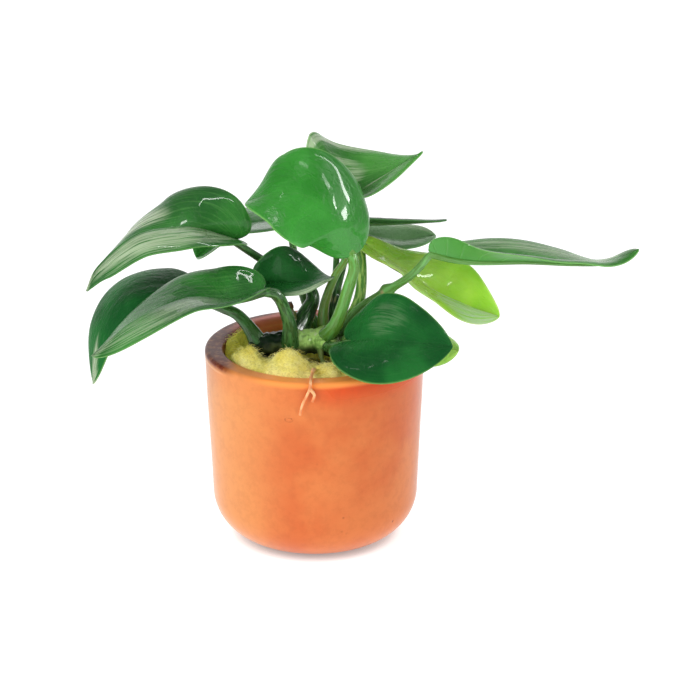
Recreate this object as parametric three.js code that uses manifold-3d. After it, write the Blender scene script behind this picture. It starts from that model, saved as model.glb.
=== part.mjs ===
// Dwarf anubias in a small clay pot: a creeping stem on a plug of rock wool, with thirteen leaves.
// Millimetres, +Z up. The pot stands on z = 0 with its axis on Z, and the viewer looks along +Y.
import * as THREE from 'three';
import { mergeVertices } from 'three/addons/utils/BufferGeometryUtils.js';
import Module from 'manifold-3d';

const wasm = await Module();
wasm.setup();

// Driving dimensions of the pot
const POT_RADIUS = 27.5;
const POT_HEIGHT = 49.7;
const POT_TAPER = 1.5;
const POT_FOOT_ROUND = 12;
const POT_WALL = 4.8;
const POT_FLOOR = 5;
const POT_INNER_ROUND = 7;
const RIM_ROUND_OUTER = 1;
const RIM_ROUND_INNER = 1.2;
const POT_SIDES = 48;
const FOOT_STEPS = 7;
const RIM_STEPS = 3;
const CORNER_STEPS = 4;

// Space kept between pieces that touch, a little wider where the wool lies round the stem
const GAP = 0.3;
const STEM_BED = 0.45;

// Points closer than this are one point, and a curl smaller than this many degrees counts as this one
const MERGE_DISTANCE = 1e-4;
const LEAST_CURL = 0.1;

// Driving dimensions that all blades share
const BLADE_THICKNESS = 0.72;
const BLADE_ROWS = 12;
const HALF_COLUMNS = 4;
const LOBE_PEAK = 0.13;
const VEIN_START_POWER = 1.5;
const VEIN_SWEEP_POWER = 1.4;
const VEIN_RELIEF = 0.14;
const RIB_END_RADIUS = 0.35;
const RIB_SUNK = 0.3;
const RIB_REACH = 0.72;
const STALK_SIDES = 8;
const STALK_STEPS = 12;
const STALK_TAPER_POWER = 0.7;
const RIB_STEPS = 7;
const OUTLINE_SAMPLES = 200;

// Rock wool: height on the axis, rise towards the viewer, tufts as [x, y, height, spread],
// and the hollow round the stem
const WOOL_TOP = 47.2;
const WOOL_SLOPE = 0.07;
const WOOL_RINGS = 9;
const WOOL_TUFTS = [
  [-16.5, -10.5, 5.2, 4.2],
  [-6, -15.5, 6, 5],
  [5, -17.5, 3, 4.5],
  [-17.5, 3, 6, 4.5],
  [15, -10, 2.6, 5],
  [14, 9, 1.6, 6],
];
const WOOL_HOLLOW = { x: 1, y: -2, depth: 2.2, spread: 9 };
const WOOL_RIPPLE = { height: 0.35, rays: 7, bands: 0.9 };

// Colour and roughness of each piece
const CLAY = { color: 0xe07a48, roughness: 0.42 };
const WOOL = { color: 0xd8ca62, roughness: 0.95 };
const STEM = { color: 0x3f5a2c, roughness: 0.5 };
const ROOT = { color: 0xe8b58a, roughness: 0.6 };
const DARK_LEAF = { color: 0x1f5c2b, roughness: 0.25 };
const MID_LEAF = { color: 0x2f7a38, roughness: 0.25 };
const BRIGHT_LEAF = { color: 0x3f9a3c, roughness: 0.22 };
const PALE_LEAF = { color: 0x5c9640, roughness: 0.28 };
const YOUNG_LEAF = { color: 0x8cc03a, roughness: 0.25 };

// Leaves. stalk: points from the stem to just short of the blade. rib: midrib points from notch to tip.
// face: upward direction of the blade from notch to tip. half: widths of the left and right halves.
// lobe: how far the base runs back past the notch. point: how drawn out the tip is.
// fold and curl: for each half, degrees at the notch and at the tip; a positive fold lifts the edge.
const LEAVES = [
  {
    name: 'leaf_upper_left',
    look: MID_LEAF,
    stalk: [[-4.5, 2, 52.5], [-2, 5, 56.5], [-0.5, 7, 60], [-3, 8.5, 63.5], [-10, 7.5, 67.5]],
    rib: [
      [-20, 3, 76.3],
      [-27.5, 1, 79.5],
      [-34, -2, 81],
      [-43.5, -5, 79.8],
      [-52.5, -7, 72.5],
      [-55.5, -8, 66.5],
    ],
    face: [[0.2, -0.5, 0.8], [-0.2, -0.4, 0.9], [-0.4, -0.4, 0.8]],
    half: [10, 12.5],
    lobe: 0.1,
    point: 0.9,
    fold: [[55, -30], [95, -75]],
    curl: [[-30, -40], [-75, -45]],
    radius: [2.4, 0.9],
  },
  {
    name: 'leaf_low_left_back',
    look: DARK_LEAF,
    stalk: [[-13.5, -4, 51], [-15.5, -3, 54.5], [-19, -1, 58], [-23, 0, 59.5]],
    rib: [[-27.5, 1, 61.5], [-37, 0, 65.5], [-47, -1, 63.5], [-53, -3, 55], [-55, -6, 41.5]],
    face: [[-0.1, -0.5, 0.9], [-0.4, -0.3, 0.8], [-0.8, -0.5, 0.2]],
    half: [10, 11.5],
    lobe: 0.02,
    point: 0.6,
    fold: [[20, -10], [-10, 5]],
    curl: [[-30, -30], [-25, -25]],
    radius: [2, 1.1],
  },
  {
    name: 'leaf_low_left_front',
    look: MID_LEAF,
    stalk: [[-6, -6, 52], [-6, -7, 57.5], [-7.5, -8, 63], [-9, -9, 66]],
    rib: [[-12, -9, 67.5], [-21, -12, 66], [-31, -14, 66.5], [-43, -17, 62], [-53.5, -20, 54]],
    face: [[0, -0.2, 1], [-0.2, -0.2, 1], [-0.7, -0.4, 0.6]],
    half: [10.5, 11.5],
    lobe: 0.04,
    point: 0.3,
    fold: [[35, -10], [35, -30]],
    curl: [[-5, -10], [0, 5]],
    radius: [1.8, 1.2],
  },
  {
    name: 'leaf_small_centre',
    look: DARK_LEAF,
    stalk: [[-5, -2, 50.5], [-6.5, -2.5, 56], [-8.5, -1, 61], [-10.5, 0.5, 63]],
    rib: [[-13, 2, 65.5], [-3, 1, 66], [5, 0, 67.5]],
    face: [[-0.3, -0.6, 0.8], [0.1, -0.4, 0.9]],
    half: [9, 7.5],
    lobe: 0.16,
    point: 0.8,
    fold: [[75, -40], [40, 20]],
    curl: [[5, -30], [-10, -15]],
    radius: [1.3, 0.8],
  },
  {
    name: 'leaf_top_centre',
    look: BRIGHT_LEAF,
    stalk: [[3, -5.5, 54], [5.5, -7, 58], [8.3, -7, 66.5], [9.8, -7, 72]],
    rib: [[9.5, -7, 75.5], [6.5, -8, 84.2], [-0.5, -6, 89.5], [-8.5, -4, 90.5], [-16.5, -2, 87.2]],
    face: [[0.2, -0.9, 0.3], [0.5, -0.9, 0], [-0.4, -0.4, 0.8]],
    half: [12, 13.5],
    lobe: 0.02,
    point: 0.1,
    fold: [[-15, 40], [-15, -15]],
    curl: [[-15, -20], [-45, -10]],
    radius: [1.7, 1.3],
  },
  {
    name: 'leaf_top_back',
    look: MID_LEAF,
    stalk: [[2, 1.5, 52.5], [2.5, 2, 59.5], [5, 3, 66.5], [8, 5.5, 71], [9, 9.5, 77.5]],
    rib: [[7, 12.5, 83.7], [12, 13.5, 86], [20, 14.5, 90.9], [27, 15.5, 95.3]],
    face: [[-0.4, -0.6, 0.7], [-0.3, -0.5, 0.8]],
    half: [20, 11],
    lobe: 0.23,
    point: 1.7,
    fold: [[20, -15], [45, 20]],
    curl: [[10, -50], [20, -30]],
    radius: [1.2, 0.8],
  },
  {
    name: 'leaf_right_back',
    look: DARK_LEAF,
    stalk: [[4, 4.5, 52], [5, 6, 59.5], [7, 12, 66], [8, 19.5, 68]],
    rib: [[9.5, 23, 72], [21, 24, 69.5], [31, 26, 70]],
    face: [[0.2, -0.1, 1], [0, -0.2, 1]],
    half: [9.2, 7.8],
    lobe: 0.1,
    point: 0.4,
    fold: [[15, 25], [15, 25]],
    curl: [[-20, -35], [-15, -25]],
    radius: [1.1, 0.8],
  },
  {
    name: 'leaf_young_right',
    look: YOUNG_LEAF,
    stalk: [[8, 1, 53.5], [10.8, 2.5, 59.5], [11.7, 4.5, 64.5], [11.7, 6, 70]],
    rib: [[11.5, 7, 74.5], [22, 6.5, 67.5], [32, 3.5, 61.5], [46, -1, 57.5]],
    face: [[0, -0.3, 0.9], [-0.5, -0.1, 0.9], [0.5, -0.9, -0.2]],
    half: [11.5, 9],
    lobe: 0.06,
    point: 0.3,
    taper: 0.3,
    fold: [[-5, 20], [10, 50]],
    curl: [[-20, 5], [10, 25]],
    radius: [1.6, 1.1],
  },
  {
    name: 'leaf_long_right',
    look: MID_LEAF,
    stalk: [[6.5, -2.5, 53.5], [11.5, -1.5, 59.8], [18, -2, 64.6], [24, -5, 69.8]],
    rib: [
      [28.5, -5, 75.5],
      [39, -6, 74],
      [52, -8, 74.5],
      [63, -10, 74.5],
      [71, -11, 75],
      [78.5, -12, 78.5],
    ],
    face: [[0.1, 0.2, 1], [-0.1, -0.2, 1], [0, -0.1, 1], [0, 0.1, 1], [-0.1, -0.4, 0.9]],
    half: [10.5, 9],
    lobe: 0.03,
    point: 0.5,
    fold: [[20, -5], [70, 0]],
    curl: [[-20, -20], [-10, -25]],
    radius: [1.4, 0.9],
  },
  {
    name: 'leaf_front_right',
    look: DARK_LEAF,
    stalk: [[3.5, -8, 52], [5, -11.5, 53.5]],
    rib: [[8.5, -15, 56], [15, -19, 58], [23, -22, 58.5], [33.5, -23, 57.5]],
    face: [[0.1, -0.6, 0.8], [0, -0.9, 0.4]],
    half: [12.5, 13],
    lobe: 0.14,
    point: 0.5,
    fold: [[5, 5], [40, 10]],
    curl: [[0, -15], [-30, -35]],
    radius: [1.2, 0.9],
  },
  {
    name: 'leaf_under_front_right',
    look: PALE_LEAF,
    stalk: [[7, -5.5, 52], [10.5, -6.5, 56.5]],
    rib: [[14.5, -7.5, 61], [25, -10, 56], [35.5, -12, 52.5]],
    face: [[0.1, -0.8, 0.6], [0.2, -0.7, 0.6]],
    half: [11, 8.5],
    lobe: 0.08,
    point: 0.1,
    fold: [[5, -30], [40, -5]],
    curl: [[-65, -70], [0, 5]],
    radius: [1.1, 0.8],
  },
  {
    name: 'leaf_back_left',
    look: MID_LEAF,
    stalk: [[1, 8, 50], [-3, 11.5, 59], [-5.5, 15, 70.5]],
    rib: [[-6.5, 17, 77], [-19.5, 17, 75], [-30, 15, 67.5]],
    face: [[-0.2, -0.2, 0.9], [-0.2, -0.4, 0.9]],
    half: [9, 10],
    lobe: 0.1,
    point: 0.1,
    fold: [[10, 30], [-10, 35]],
    curl: [[5, 20], [-30, -20]],
    radius: [1.2, 0.8],
  },
  {
    name: 'leaf_far_right',
    look: DARK_LEAF,
    stalk: [[4.5, 9, 50.5], [5, 12, 60], [5.5, 15, 69.5]],
    rib: [[6, 16, 77], [19.5, 19, 76], [33.5, 22, 75.5]],
    face: [[0, 0.25, 1], [0, 0.25, 1]],
    half: [7, 7],
    lobe: 0.05,
    point: 0.9,
    fold: [[15, -10], [20, 5]],
    curl: [[-5, -20], [-10, -10]],
    radius: [1, 0.7],
  },
];

// Creeping stem: each branch is a list of points with the radius at each; the last is a root into the wool
const STEM_BRANCHES = [
  {
    points: [
      [-16, -4.5, 50.5],
      [-12, -4, 51],
      [-6, -3.5, 51.5],
      [0, -2, 51.5],
      [5, -1, 52],
      [9.5, 0, 52.5],
    ],
    radii: [1.6, 3, 3.2, 3, 3.4, 2],
  },
  {
    points: [[3, 0, 51.5], [3.5, 5, 51], [3, 10.5, 50.5]],
    radii: [3, 3.2, 2],
  },
  {
    points: [[1, -2, 51.5], [4.5, -5, 51.5], [5.5, -8, 51.5]],
    radii: [3, 3, 2],
  },
  {
    points: [[1.5, -4, 51], [1.5, -7, 50.5], [2.5, -10.5, 48]],
    radii: [1.2, 0.8, 0.6],
  },
];
const STUB = { points: [[-4, 0.5, 50], [-5, 2, 55], [-6.5, 2.5, 60]], radii: [1.8, 1.1, 0.9] };
const STEM_SIDES = 10;
const STEM_STEPS = 9;
const STUB_STEPS = 6;
const STEM_KNOB = 0.25;

// Root that leaves the wool, lies over the rim and forks down the outside of the pot
const ROOT_RADIUS = 0.45;
const ROOT_CLEAR = ROOT_RADIUS + GAP;
const ROOT_SIDES = 7;
const ROOT_STEPS_PER_POINT = 3;
const ROOT_STRANDS = [
  [
    [0.5, -17.5, 49.5],
    [0, -20.5, POT_HEIGHT + 1],
    [-0.3, -23, POT_HEIGHT + ROOT_CLEAR],
    [-0.5, -25.3, POT_HEIGHT + ROOT_CLEAR],
    [-0.6, -POT_RADIUS - 0.4, POT_HEIGHT + 0.3],
    [-0.8, -POT_RADIUS - ROOT_CLEAR, POT_HEIGHT - 1],
    [-1.5, -POT_RADIUS - ROOT_CLEAR, 47],
    [-2.6, -POT_RADIUS - ROOT_CLEAR, 44.5],
    [-3.2, -POT_RADIUS - ROOT_CLEAR, 42],
  ],
  [
    [-0.7, -POT_RADIUS - ROOT_CLEAR, POT_HEIGHT - 1],
    [0.3, -POT_RADIUS - ROOT_CLEAR, 47.2],
    [-0.2, -POT_RADIUS - ROOT_CLEAR, 45.4],
  ],
];

const radians = THREE.MathUtils.degToRad;

function vector(p) {
  return new THREE.Vector3(p[0], p[1], p[2]);
}

// A smooth line through hand-placed points
function spline(points) {
  return new THREE.CatmullRomCurve3(points.map(vector), false, 'catmullrom', 0.5);
}

// A closed body from one geometry: vertices shared, slivers of no area dropped
function toSolid(geometry) {
  const bare = new THREE.BufferGeometry();
  bare.setAttribute('position', geometry.getAttribute('position'));
  bare.setIndex(geometry.getIndex());
  const merged = mergeVertices(bare, MERGE_DISTANCE);
  const index = merged.getIndex().array;
  const kept = [];
  for (let i = 0; i < index.length; i += 3) {
    const [a, b, c] = [index[i], index[i + 1], index[i + 2]];
    if (a !== b && b !== c && c !== a) {
      kept.push(a, b, c);
    }
  }
  const mesh = new wasm.Mesh({
    numProp: 3,
    vertProperties: new Float32Array(merged.getAttribute('position').array),
    triVerts: new Uint32Array(kept),
  });
  return new wasm.Manifold(mesh);
}

function toGeometry(solid) {
  const { vertProperties, triVerts } = solid.getMesh();
  const geometry = new THREE.BufferGeometry();
  geometry.setAttribute('position', new THREE.BufferAttribute(vertProperties, 3));
  geometry.setIndex(new THREE.BufferAttribute(triVerts, 1));
  geometry.computeVertexNormals();
  return geometry;
}

// The biggest of the pieces that a cut leaves
function largest(solid) {
  const pieces = solid.decompose();
  return pieces.reduce((best, piece) => (piece.volume() > best.volume() ? piece : best));
}

// A closed skin over loops of equal length, with a single point at each end
function skin(first, loops, last) {
  const n = loops[0].length;
  const points = [first, ...loops.flat(), last];
  const index = [];
  for (let j = 0; j < n; j += 1) {
    const k = (j + 1) % n;
    index.push(0, 1 + k, 1 + j);
    for (let i = 0; i < loops.length - 1; i += 1) {
      const row = 1 + i * n;
      index.push(row + j, row + k, row + n + k);
      index.push(row + j, row + n + k, row + n + j);
    }
    const end = 1 + (loops.length - 1) * n;
    index.push(end + j, end + k, points.length - 1);
  }
  const geometry = new THREE.BufferGeometry().setFromPoints(points);
  geometry.setIndex(index);
  return geometry;
}

// A round bar along points, with its own radius at each of them
function bar(points, radii, sides) {
  const loops = [];
  let side = new THREE.Vector3(0, 1, 0.2);
  points.forEach((point, i) => {
    const before = points[Math.max(i - 1, 0)];
    const after = points[Math.min(i + 1, points.length - 1)];
    const along = after.clone().sub(before).normalize();
    side = side.clone().addScaledVector(along, -side.dot(along)).normalize();
    const across = along.clone().cross(side);
    const loop = [];
    for (let j = 0; j < sides; j += 1) {
      const angle = (2 * Math.PI * j) / sides;
      const rim = point.clone().addScaledVector(side, radii[i] * Math.cos(angle));
      loop.push(rim.addScaledVector(across, radii[i] * Math.sin(angle)));
    }
    loops.push(loop);
  });
  return toSolid(skin(points[0], loops, points[points.length - 1]));
}

// A smooth bar whose radius runs through the given values, with knobs as on a creeping stem
function branch(points, radii, sides, steps, extra, knob) {
  const line = spline(points);
  const size = spline(radii.map((r) => [r, 0, 0]));
  const centres = [];
  const widths = [];
  for (let i = 0; i <= steps; i += 1) {
    const t = i / steps;
    centres.push(line.getPoint(t));
    widths.push(size.getPoint(t).x + extra + knob * (i % 2));
  }
  centres[0].addScaledVector(line.getTangent(0), -extra);
  centres[steps].addScaledVector(line.getTangent(1), extra);
  return bar(centres, widths, sides);
}

// Pot: one turned body, rounded at the foot and at both edges of the rim
function arc(list, cx, cz, radius, from, to, steps) {
  for (let i = 0; i <= steps; i += 1) {
    const angle = radians(from + ((to - from) * i) / steps);
    list.push(new THREE.Vector2(cx + radius * Math.cos(angle), cz + radius * Math.sin(angle)));
  }
}

function innerRadius(z) {
  return POT_RADIUS - POT_WALL - (POT_TAPER * (POT_HEIGHT - z)) / POT_HEIGHT;
}

function makePot() {
  const foot = POT_RADIUS - POT_TAPER;
  const profile = [new THREE.Vector2(0, 0)];
  arc(profile, foot - POT_FOOT_ROUND, POT_FOOT_ROUND, POT_FOOT_ROUND, -90, 0, FOOT_STEPS);
  const rimOuter = POT_RADIUS - RIM_ROUND_OUTER;
  const rimInner = POT_RADIUS - POT_WALL + RIM_ROUND_INNER;
  arc(profile, rimOuter, POT_HEIGHT - RIM_ROUND_OUTER, RIM_ROUND_OUTER, 0, 90, RIM_STEPS);
  arc(profile, rimInner, POT_HEIGHT - RIM_ROUND_INNER, RIM_ROUND_INNER, 90, 180, RIM_STEPS);
  const floorRound = innerRadius(POT_FLOOR + POT_INNER_ROUND) - POT_INNER_ROUND;
  arc(profile, floorRound, POT_FLOOR + POT_INNER_ROUND, POT_INNER_ROUND, 0, -90, CORNER_STEPS);
  profile.push(new THREE.Vector2(0, POT_FLOOR));
  const geometry = new THREE.LatheGeometry(profile, POT_SIDES);
  geometry.rotateX(Math.PI / 2);
  return toSolid(geometry);
}

// Creeping stem with the stub of an old stalk
function makeStem(extra) {
  const stub = branch(STUB.points, STUB.radii, STALK_SIDES, STUB_STEPS, extra, 0);
  return STEM_BRANCHES.reduce((body, { points, radii }) => {
    return body.add(branch(points, radii, STEM_SIDES, STEM_STEPS, extra, STEM_KNOB));
  }, stub);
}

// Root strands; extra widens them for the plain hole that they stand in
function makeRoot(extra) {
  const strands = ROOT_STRANDS.map((points) => {
    const radii = points.map(() => ROOT_RADIUS);
    return branch(points, radii, ROOT_SIDES, points.length * ROOT_STEPS_PER_POINT, extra, 0);
  });
  return strands.reduce((body, piece) => body.add(piece));
}

// Rock wool: it fills the pot, lower at the back, with tufts that rise over the rim in front
function woolHeight(x, y, angle) {
  let z = WOOL_TOP - WOOL_SLOPE * y;
  for (const [cx, cy, height, spread] of WOOL_TUFTS) {
    const d2 = (x - cx) ** 2 + (y - cy) ** 2;
    z += height * Math.exp(-d2 / (spread * spread));
  }
  const h2 = (x - WOOL_HOLLOW.x) ** 2 + (y - WOOL_HOLLOW.y) ** 2;
  z -= WOOL_HOLLOW.depth * Math.exp(-h2 / (WOOL_HOLLOW.spread * WOOL_HOLLOW.spread));
  const ripple = Math.sin(WOOL_RIPPLE.rays * angle + x) * Math.cos(WOOL_RIPPLE.bands * y);
  return z + WOOL_RIPPLE.height * ripple;
}

function makeWool() {
  const loops = [];
  const ring = (radius, height) => {
    const loop = [];
    for (let j = 0; j < POT_SIDES; j += 1) {
      const angle = (2 * Math.PI * j) / POT_SIDES;
      const x = radius * Math.cos(angle);
      const y = radius * Math.sin(angle);
      loop.push(new THREE.Vector3(x, y, height(x, y, angle)));
    }
    loops.push(loop);
  };
  const bottom = POT_FLOOR + GAP;
  const cornerTop = POT_FLOOR + POT_INNER_ROUND;
  const cornerRadius = innerRadius(cornerTop) - POT_INNER_ROUND;
  const reach = POT_INNER_ROUND - GAP;
  for (let i = 0; i <= CORNER_STEPS; i += 1) {
    const angle = radians((90 * i) / CORNER_STEPS - 90);
    const z = cornerTop + reach * Math.sin(angle);
    ring(cornerRadius + reach * Math.cos(angle), () => z);
  }
  const edge = innerRadius(WOOL_TOP) - GAP;
  for (let i = 0; i < WOOL_RINGS; i += 1) {
    ring((edge * (WOOL_RINGS - i)) / WOOL_RINGS, woolHeight);
  }
  const base = new THREE.Vector3(0, 0, bottom);
  const top = new THREE.Vector3(0, 0, woolHeight(0, 0, 0));
  return toSolid(skin(base, loops, top));
}

// Leaf outline at v, from 0 at the notch to 1 at the tip: shares of the length and of the half width
function outlineWidth(v, point, taper) {
  return Math.sin(Math.PI * v) * (1 - v) ** point * v ** taper;
}

function bladeOutline(v, { lobe, point, taper = 0 }) {
  const back = lobe * (v / LOBE_PEAK) * Math.exp(1 - v / LOBE_PEAK) * (1 - v) ** 2;
  const along = (1 - Math.cos(Math.PI * v)) / 2 - back;
  let peak = 0;
  for (let i = 1; i < OUTLINE_SAMPLES; i += 1) {
    peak = Math.max(peak, outlineWidth(i / OUTLINE_SAMPLES, point, taper));
  }
  return { along, across: outlineWidth(v, point, taper) / peak };
}

// The midrib's place and the blade's own directions at a share of its length; before 0 it runs straight
function bladeFrame(leaf, share) {
  const t = THREE.MathUtils.clamp(share, 0, 1);
  const tangent = leaf.line.getTangent(t);
  const place = leaf.line.getPoint(t).addScaledVector(tangent, Math.min(share, 0) * leaf.length);
  const face = leaf.faceLine.getPoint(t);
  const normal = face.addScaledVector(tangent, -face.dot(tangent)).normalize();
  const side = normal.clone().cross(tangent);
  return { place, normal, side };
}

// A point of the blade: v from notch to tip, s from -1 at the right edge to 1 at the left edge
function bladePoint(leaf, v, s) {
  const u = Math.abs(s);
  const half = s >= 0 ? 0 : 1;
  const { along, across } = bladeOutline(v, leaf);
  const start = v ** VEIN_START_POWER;
  const share = start + (along - start) * u ** VEIN_SWEEP_POWER;
  const { place, normal, side } = bladeFrame(leaf, share);
  const t = THREE.MathUtils.clamp(share, 0, 1);
  const width = leaf.half[half];
  const reach = width * across * u;
  const fold = radians(THREE.MathUtils.lerp(leaf.fold[half][0], leaf.fold[half][1], t));
  const degrees = THREE.MathUtils.lerp(leaf.curl[half][0], leaf.curl[half][1], t);
  const bend = radians(Math.abs(degrees) < LEAST_CURL ? LEAST_CURL : degrees) / width;
  const out = (Math.sin(fold + bend * reach) - Math.sin(fold)) / bend;
  const up = (Math.cos(fold) - Math.cos(fold + bend * reach)) / bend;
  return place.addScaledVector(side, Math.sign(s) * out).addScaledVector(normal, up);
}

// The blade: one sheet of points, raised between its veins, given thickness both ways from it
function makeBlade(leaf) {
  const columns = 2 * HALF_COLUMNS;
  const rowLength = columns + 1;
  const last = 1 + (BLADE_ROWS - 1) * rowLength;
  const at = (i, j) => {
    if (i === 0) {
      return 0;
    }
    return i === BLADE_ROWS ? last : 1 + (i - 1) * rowLength + j;
  };
  const sheet = [bladePoint(leaf, 0, 0)];
  for (let i = 1; i < BLADE_ROWS; i += 1) {
    for (let j = 0; j < rowLength; j += 1) {
      sheet.push(bladePoint(leaf, i / BLADE_ROWS, j / HALF_COLUMNS - 1));
    }
  }
  sheet.push(bladePoint(leaf, 1, 0));

  const faces = [];
  for (let i = 0; i < BLADE_ROWS; i += 1) {
    for (let j = 0; j < columns; j += 1) {
      const corners = [at(i, j), at(i, j + 1), at(i + 1, j + 1), at(i + 1, j)];
      if (i > 0) {
        faces.push([corners[0], corners[2], corners[1]]);
      }
      if (i < BLADE_ROWS - 1) {
        faces.push([corners[0], corners[3], corners[2]]);
      }
    }
  }
  const normals = sheetNormals(sheet, faces);

  const points = [];
  for (const way of [1, -1]) {
    sheet.forEach((p, k) => {
      const row = Math.floor((k - 1) / rowLength) + 1;
      const column = Math.abs(((k - 1) % rowLength) - HALF_COLUMNS) / HALF_COLUMNS;
      const inside = k > 0 && k < last;
      const relief = inside ? VEIN_RELIEF * (row % 2 ? 1 : -1) * Math.sin(Math.PI * column) : 0;
      points.push(p.clone().addScaledVector(normals[k], relief + (way * BLADE_THICKNESS) / 2));
    });
  }
  const under = sheet.length;
  const index = [];
  for (const [a, b, c] of faces) {
    index.push(a, b, c, under + a, under + c, under + b);
  }
  const edge = [];
  for (let i = 0; i <= BLADE_ROWS; i += 1) {
    edge.push(at(i, 0));
  }
  for (let i = BLADE_ROWS - 1; i > 0; i -= 1) {
    edge.push(at(i, columns));
  }
  edge.forEach((a, k) => {
    const b = edge[(k + 1) % edge.length];
    index.push(a, under + a, under + b, a, under + b, b);
  });
  const geometry = new THREE.BufferGeometry().setFromPoints(points);
  geometry.setIndex(index);
  return toSolid(geometry);
}

function sheetNormals(sheet, faces) {
  const geometry = new THREE.BufferGeometry().setFromPoints(sheet);
  geometry.setIndex(faces.flat());
  geometry.computeVertexNormals();
  const normal = geometry.getAttribute('normal');
  return sheet.map((_, k) => new THREE.Vector3().fromBufferAttribute(normal, k));
}

// Stalk and midrib: one bar that comes up from the stem and runs on, sunk in the underside of the blade
function makeStalk(leaf) {
  const [foot, top] = leaf.radius;
  const sink = (share, radius) => {
    const { place, normal } = bladeFrame(leaf, share);
    return place.addScaledVector(normal, RIB_SUNK - radius);
  };
  const path = spline([...leaf.stalk, sink(0, top).toArray()]);
  const centres = [];
  const radii = [];
  for (let i = 0; i < STALK_STEPS; i += 1) {
    const t = i / STALK_STEPS;
    centres.push(path.getPoint(t));
    radii.push(foot + (top - foot) * t ** STALK_TAPER_POWER);
  }
  for (let i = 0; i <= RIB_STEPS; i += 1) {
    const t = i / RIB_STEPS;
    const radius = top + (RIB_END_RADIUS - top) * t ** STALK_TAPER_POWER;
    centres.push(sink(RIB_REACH * t, radius));
    radii.push(radius);
  }
  return bar(centres, radii, STALK_SIDES);
}

function makeLeaf(row, clearStem) {
  const line = spline(row.rib);
  const leaf = { ...row, line, length: line.getLength(), faceLine: spline(row.face) };
  return largest(makeBlade(leaf).add(makeStalk(leaf)).subtract(clearStem));
}

// The plant in its pot
const group = new THREE.Group();

function addPiece(name, solid, look) {
  const material = new THREE.MeshStandardMaterial({ ...look, metalness: 0 });
  const mesh = new THREE.Mesh(toGeometry(solid), material);
  mesh.name = name;
  group.add(mesh);
}

const clearStem = makeStem(GAP);
const bed = makeStem(STEM_BED).add(makeRoot(GAP));
addPiece('pot', makePot(), CLAY);
addPiece('rock_wool', largest(makeWool().subtract(bed)), WOOL);
addPiece('creeping_stem', makeStem(0), STEM);
addPiece('root_over_rim', makeRoot(0), ROOT);
for (const row of LEAVES) {
  addPiece(row.name, makeLeaf(row, clearStem), row.look);
}

export default group;
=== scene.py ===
"""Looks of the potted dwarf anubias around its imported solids, in millimetres until a mesh is made."""
import math
import random

import bmesh
import bpy
import numpy as np
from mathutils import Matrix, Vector, noise


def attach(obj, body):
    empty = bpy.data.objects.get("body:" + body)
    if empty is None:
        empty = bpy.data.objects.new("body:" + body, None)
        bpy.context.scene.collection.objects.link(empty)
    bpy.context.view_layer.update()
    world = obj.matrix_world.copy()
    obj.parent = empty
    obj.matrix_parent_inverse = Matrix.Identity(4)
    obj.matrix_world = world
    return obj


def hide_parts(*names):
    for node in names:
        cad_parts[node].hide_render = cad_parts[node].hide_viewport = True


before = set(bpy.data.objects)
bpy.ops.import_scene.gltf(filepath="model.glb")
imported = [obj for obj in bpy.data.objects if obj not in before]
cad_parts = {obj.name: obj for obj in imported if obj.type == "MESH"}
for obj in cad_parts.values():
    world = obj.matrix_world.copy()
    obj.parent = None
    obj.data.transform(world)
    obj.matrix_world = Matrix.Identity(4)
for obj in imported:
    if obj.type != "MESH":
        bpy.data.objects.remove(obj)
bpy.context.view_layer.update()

MM = 0.001
MERGE_DISTANCE = 1e-6
UV_LAYER = "UVMap"

# The photograph's view: it looks along +Y, a little down, with a long lens
VIEW_TARGET = (8.85, 0, 48.3)
VIEW_DISTANCE = 600
VIEW_ELEVATION = 20.1
VIEW_LENS = 123.4

# Pot
POT_RADIUS = 27.5
POT_HEIGHT = 49.7
POT_TAPER = 1.5
POT_FOOT_ROUND = 12
POT_WALL = 4.8
POT_FLOOR = 5
POT_INNER_ROUND = 7
RIM_ROUND_OUTER = 1
RIM_ROUND_INNER = 1.2
POT_SIDES = 160
# Unevenness of its wall: depth, where it starts over the foot and how soon it is full, and its steps
POT_WOBBLE = 0.12
WOBBLE_START = 3
WOBBLE_RISE = 10
WOBBLE_STEPS = (3, 0.07)
# Height of the turning line under the rim, a small ridge with a painted highlight
TURNED_HIGHLIGHT_LINE = 47.8
# Marks on its front, each with x, z, the radius of its ring (0 for a dot) and its line width
POT_MARKS = [
    [-5.9, 40, 0.9, 0.35],
    [-0.7, 15.2, 0, 0.5],
    [21.5, 39, 0, 0.4],
]
# How many times wider than high the marks are
MARK_FLATNESS = 1.8

# Rock wool: tufts are [x, y, height, spread]
GAP = 0.3
WOOL_TOP = 47.2
WOOL_SLOPE = 0.07
WOOL_TUFTS = [
    [-16.5, -10.5, 5.2, 4.2],
    [-6, -15.5, 6, 5],
    [5, -17.5, 3, 4.5],
    [-17.5, 3, 6, 4.5],
    [15, -10, 2.6, 5],
    [14, 9, 1.6, 6],
]
WOOL_HOLLOW = {"x": 1, "y": -2, "depth": 2.2, "spread": 9}
WOOL_RIPPLE = {"height": 0.35, "rays": 7, "bands": 0.9}
WOOL_FLUFF = 0.5
WOOL_RINGS = 60
WOOL_SIDES = 150
FIBRES = 7200
FIBRE_RADIUS = 0.045
FIBRE_LENGTH = (0.7, 2.2)
FIBRE_STEPS = 3
FIBRE_LIMIT = POT_RADIUS - 3
FIBRE_DROOP = 1.6
# Share of fibres kept between the tufts, and how far round a tuft they stand dense
FIBRES_BETWEEN = 0.25
TUFT_REACH = 1.3
FIBRE_SIDES = 3

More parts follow.
